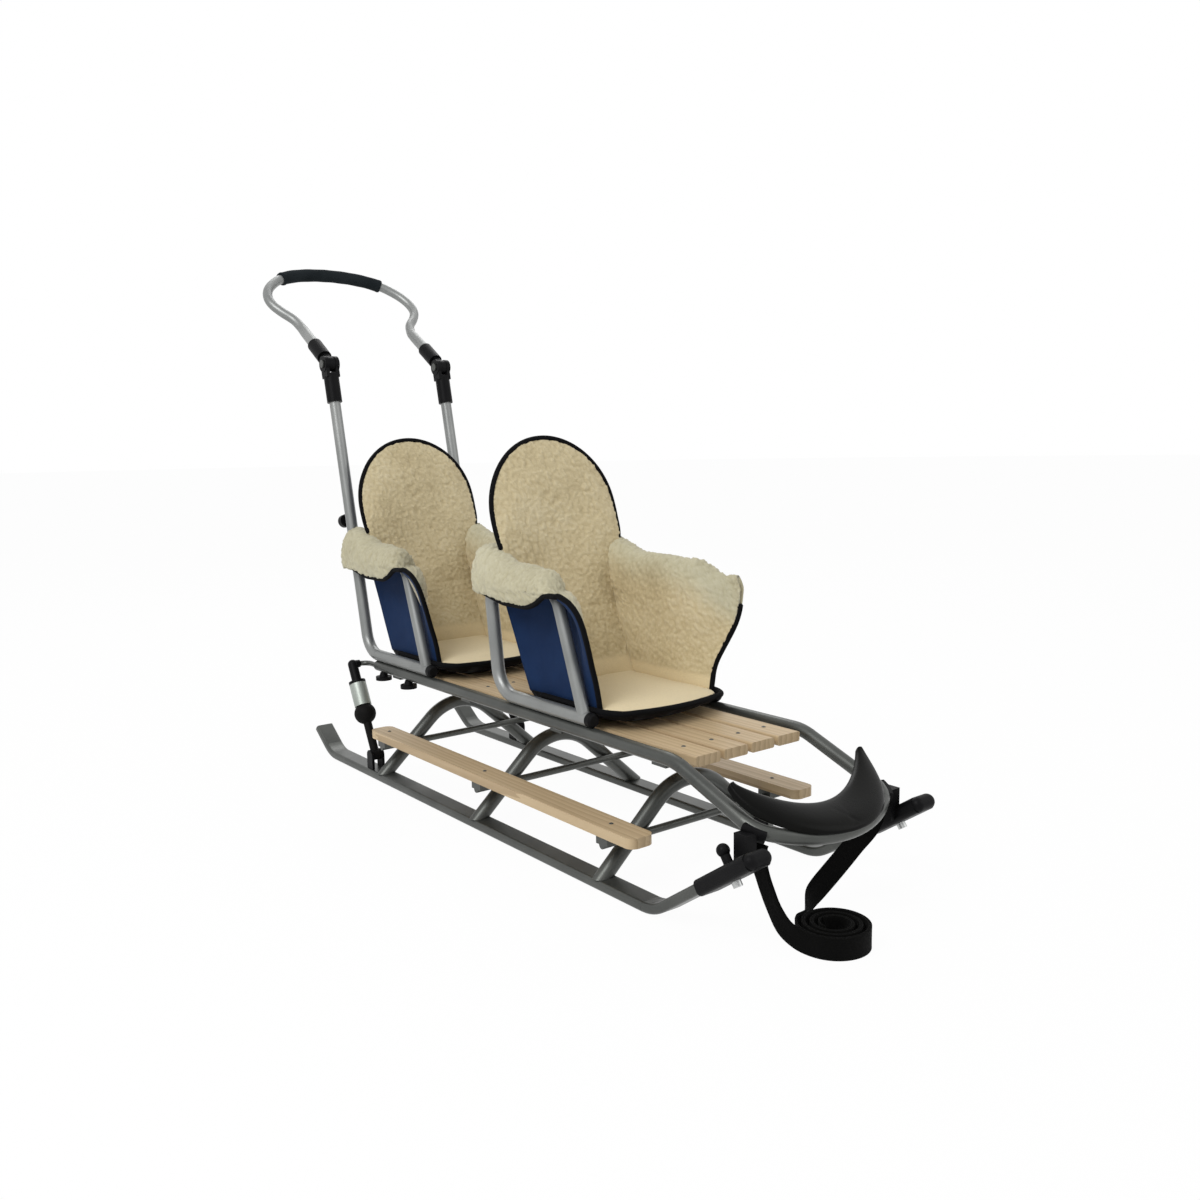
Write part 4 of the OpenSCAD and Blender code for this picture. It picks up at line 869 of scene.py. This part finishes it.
def bumperPad():
    # outer edge: a quarter oval to each horn; inner edge: a parabola
    # a rounded section fills the space between, higher towards the horns
    p = padSet
    q = np.linspace(-0.995, 0.995, p["steps"])[:, None]
    a = np.linspace(0, 2 * np.pi, p["around"], endpoint=False)[None]
    s = 0.5 - 0.5 * np.sign(np.cos(a)) * np.abs(np.cos(a)) ** p["square"]
    h = 0.5 + 0.5 * np.sign(np.sin(a)) * np.abs(np.sin(a)) ** p["square"]
    sn, cs = np.sin(np.pi / 2 * q), np.cos(np.pi / 2 * q)
    ox, oy = p["hornX"] + (p["length"] - p["hornX"]) * cs, p["side"] * sn
    deep = p["length"] - p["depth"]
    ix, iy = deep - sn ** 2 * (deep - p["hornX"]), p["hornReach"] * sn
    x, y = ox * (1 - s) + ix * s, oy * (1 - s) + iy * s
    rise = p["hornRise"] * ((1 - s) * np.abs(q) ** 7 + s * sn ** 2)
    z = p["off"] + rise + h * (p["edge"] + (p["thick"] - p["edge"]) * np.sqrt(1 - (2 * s - 1) ** 4))
    t = np.radians(p["tilt"])
    ahead = p["bend"][0] + x * np.cos(t) + z * np.sin(t)
    above = p["bend"][1] - x * np.sin(t) + z * np.cos(t)
    grid = np.stack([ahead, y, above], axis=-1)
    n, m = grid.shape[:2]
    verts = np.vstack([grid.reshape(-1, 3), grid[0].mean(axis=0), grid[-1].mean(axis=0)])
    first, second, last = n * m, n * m + 1, (n - 1) * m
    faces = gridFaces(n, m, wrapCols=True).tolist()
    faces += [[first, (j + 1) % m, j] for j in range(m)]
    faces += [[second, last + j, last + (j + 1) % m] for j in range(m)]
    up = np.array([np.sin(t), 0, np.cos(t)])
    pts, quad = softPad(
        "bumperPad", verts, turnOut(verts, faces), voxel=None, cap=p["cap"], press=p["press"],
        rim=lambda v, w: w @ up < 0.35,
    )[::2]
    obj = makePiece("bumperPadCover", pts, quad, [padVinyl])
    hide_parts("bumper_pad")


bumperPad()

# handle: a tube from socket to socket, bowed in the plane of its loop, and a foam grip round its top
handleSet = {
    "hinge": (-0.4894, 0.8), "arm": 33.0, "armLength": 0.152, "socket": 0.036, "half": 0.128, "rise": (-0.128, 0.122),
    "tube": 0.011, "drawn": 0.0012, "drawnFrom": (0.085, 0.135), "rows": 240, "sides": 32,
    "grip": 0.0134, "gripHalf": 0.119, "gripLow": 0.17, "gripSides": 40, "wall": 0.0042,
    "lip": [(0.0006, 0.0012), (0.0018, 0.0021), (0.0034, 0.0020), (0.0042, -0.001)],
    "loop": [
        (0.1365, 0.024), (0.154, 0.047), (0.1665, 0.069), (0.1695, 0.091), (0.163, 0.115),
        (0.148, 0.137), (0.122, 0.160), (0.088, 0.1755), (0.046, 0.1845), (0, 0.1875),
    ],
}


def handlePath(count):
    # along the arm from the socket to the kink, then round the loop
    # a place on the loop is the kink + half width * left + height * rise
    h = handleSet
    a = np.radians(h["arm"])
    arm = np.array([-np.cos(a), 0, np.sin(a)])
    base = np.array([h["hinge"][0], 0, h["hinge"][1]])
    up = unit(np.array([h["rise"][0], 0, h["rise"][1]]))
    y = np.array([0, 1.0, 0])
    kink = base + h["armLength"] * arm
    leg = [base + t * arm + h["half"] * y for t in np.linspace(h["socket"], h["armLength"] - 0.018, 6)]
    leg.append(kink - 0.004 * arm + 0.003 * up + (h["half"] + 0.0008) * y)
    half = np.array(leg + [kink + v * y + z * up for v, z in h["loop"]])
    return throughPoints(np.vstack([half, (half * np.array([1, -1, 1]))[-2::-1]]), count)


def handleBow():
    h = handleSet
    path = handlePath(h["rows"])
    run = runLength(path)
    # the loop is drawn a little thinner than the legs
    wide = h["tube"] - h["drawn"] * ease(*h["drawnFrom"], np.minimum(run, run[-1] - run))
    tube = path[:, None] + (carry(path, circle(h["sides"])) - path[:, None]) * wide[:, None, None]
    verts = tube.reshape(-1, 3)
    faces = turnOut(verts, tubeFaces(h["rows"], h["sides"]))
    bow = makePiece("handleBow", verts, faces, [steelLight], "handle")
    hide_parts("handle_hoop")
    # the grip: swollen slightly at its ends, rolled in over the tube, with its own bore
    held = path[(np.abs(path[:, 1]) < h["gripHalf"]) & (path[:, 2] > h["hinge"][1] + h["gripLow"])]
    n = len(held)
    ring = carry(held, circle(h["gripSides"])) - held[:, None]
    s = np.linspace(-1, 1, n)
    size = h["grip"] + 0.0008 * np.exp(-((np.abs(s) - 0.97) / 0.02) ** 2) + 0.0002 * np.sin(19 * s)
    skin = held[:, None] + ring * size[:, None, None]
    lips = []
    for end, sign in ((0, 1), (n - 1, -1)):
        t = unit(held[end] - held[end + sign])
        lips.append(np.stack([held[end] + ring[end] * (h["grip"] - drop) + t * out for drop, out in h["lip"]]))
    bore = held[:, None] + ring * (h["grip"] - h["wall"])
    alls = np.concatenate([lips[0][::-1], skin, lips[1], bore[::-1]])
    verts = alls.reshape(-1, 3)
    faces = gridFaces(*alls.shape[:2], wrapCols=True, wrapRows=True).tolist()
    obj = makePiece("gripSleeve", verts, turnOut(verts, faces), [gripFoam], "handle")
    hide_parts("handle_grip")


handleBow()
print("pad, handle and grip done")

# screws in the slats and footrests, one domed head a crossing
screwSet = {
    "head": 0.0036, "rise": 0.0015, "slatX": (-0.2576, -0.0026, 0.2674, 0.5124), "clear": 0.004,
    "rings": 9, "around": 24, "sunk": 0.001,
}


def domes(name, places, radius, rise, finish):
    # a dome turned about Z: height falls with the radius to the power 2.4, with a sunk cross of four lobes
    n, m = screwSet["rings"], screwSet["around"]
    r = np.linspace(0.02, 1, n)[:, None]
    a = np.linspace(0, 2 * np.pi, m, endpoint=False)
    dip = 0.45 * np.exp(-(r / 0.42) ** 4) * (np.cos(2 * a)[None] ** 2)
    z = rise * (1 - r ** 2.4 - dip)
    one = np.stack([radius * r * np.cos(a), radius * r * np.sin(a), z], axis=-1).reshape(-1, 3)
    foot = np.column_stack([radius * np.cos(a), radius * np.sin(a), np.full(m, -screwSet["sunk"])])
    one = np.vstack([one, foot])
    verts = np.vstack([one + np.array(p) for p in places])
    faces = [[i + len(one) * k for i in f] for k in range(len(places)) for f in tubeFaces(n + 1, m)]
    makePiece(name, verts, turnOut(verts, faces), [finish])


def screwHeads():
    c = screwSet
    tops = []
    for n in ("slat_1", "slat_2", "slat_3", "slat_4"):
        lo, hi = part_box(n)
        tops += [(x, (lo.y + hi.y) / 2, hi.z) for x in c["slatX"] if lo.x + c["clear"] < x < hi.x - c["clear"]]
    for n in ("footrest_right", "footrest_left"):
        lo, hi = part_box(n)
        for bar in ("footrest_bar_rear", "footrest_bar_middle", "footrest_bar_front"):
            low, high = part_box(bar)
            tops.append(((low.x + high.x) / 2, (lo.y + hi.y) / 2, hi.z))
    domes("screwHeads", tops, c["head"], c["rise"], steelGrey)
    print("screws", len(tops))


screwHeads()

# floor, light and world
stageSet = {
    "floor": 0.86, "glow": 0.965, "ambient": 0.55, "rings": (0.0001, 1, 3, 8, 30), "around": 64, "under": -0.0008,
    "keyLamp": {"place": (0.9, -2.6, 2.8), "aim": (0, 0, 0.35), "size": 2.2, "watts": 74.0},
    "fillLamp": {"place": (2.6, 1.6, 1.9), "aim": (0, 0, 0.35), "size": 2.4, "watts": 13.0},
    "backLamp": {"place": (-2.2, 1.2, 2.7), "aim": (0, 0, 0.5), "size": 2.0, "watts": 24.0},
}


def seenDirectly(tree):
    # 1 for camera, mirror and glass rays, 0 for the rest
    path = add(tree, "ShaderNodeLightPath").outputs
    mirrored = math2(tree, "MAXIMUM", path["Is Glossy Ray"], path["Is Transmission Ray"])
    return math2(tree, "MAXIMUM", path["Is Camera Ray"], mirrored)


def makeFloor():
    # a round sheet: rings of points about the origin
    g = stageSet
    r, m = np.array(g["rings"])[:, None], g["around"]
    ring = circle(m)
    pts = np.stack([r * ring[:, 0], r * ring[:, 1], np.full((len(r), m), g["under"])], axis=-1).reshape(-1, 3)
    mesh = bpy.data.meshes.new("floorSheet")
    mesh.from_pydata(pts.tolist(), [], [f[::-1] for f in gridFaces(len(r), m, wrapCols=True).tolist()])
    tone = (g["floor"],) * 3 + (1,)
    m, t, b = startFinish("floorPale", {"Base Color": tone, "Roughness": 0.9, "Specular IOR Level": 0.1})
    glow = add(t, "ShaderNodeEmission", Color=(1, 1, 1, 1), Strength=1.0)
    fac = math2(t, "MULTIPLY", seenDirectly(t), g["glow"])  # seen as plain white
    mix = add(t, "ShaderNodeMixShader", Fac=fac, i1=b.outputs[0], i2=glow.outputs[0])
    t.links.new(mix.outputs[0], t.nodes["Material Output"].inputs["Surface"])
    mesh.materials.append(m)
    obj = bpy.data.objects.new("floorSheet", mesh)
    scene.collection.objects.link(obj)


def lamp(name, place, aim, size, watts):
    data = bpy.data.lights.new(name, "AREA")
    data.shape, data.size, data.energy = "DISK", size, watts
    obj = bpy.data.objects.new(name, data)
    z = unit(np.array(place, float) - np.array(aim, float))
    x = unit(np.cross([0, 0, 1.0], z))
    m = np.eye(4)
    m[:3, 0], m[:3, 1], m[:3, 2], m[:3, 3] = x, np.cross(z, x), z, place
    obj.matrix_world = Matrix(m.tolist())
    scene.collection.objects.link(obj)


def lightStudio():
    g = stageSet
    makeFloor()
    world = bpy.data.worlds.new("studioWorld")
    scene.world = world
    world.use_nodes = True
    t = world.node_tree
    bg = t.nodes["Background"]
    bg.inputs["Color"].default_value = (1, 1, 1, 1)
    t.links.new(between(t, seenDirectly(t), 1 - g["ambient"], g["ambient"]), bg.inputs["Strength"])
    for name in ("keyLamp", "fillLamp", "backLamp"):
        lamp(name, **g[name])


lightStudio()
scene.view_settings.view_transform = "Standard"
print("stage lit")
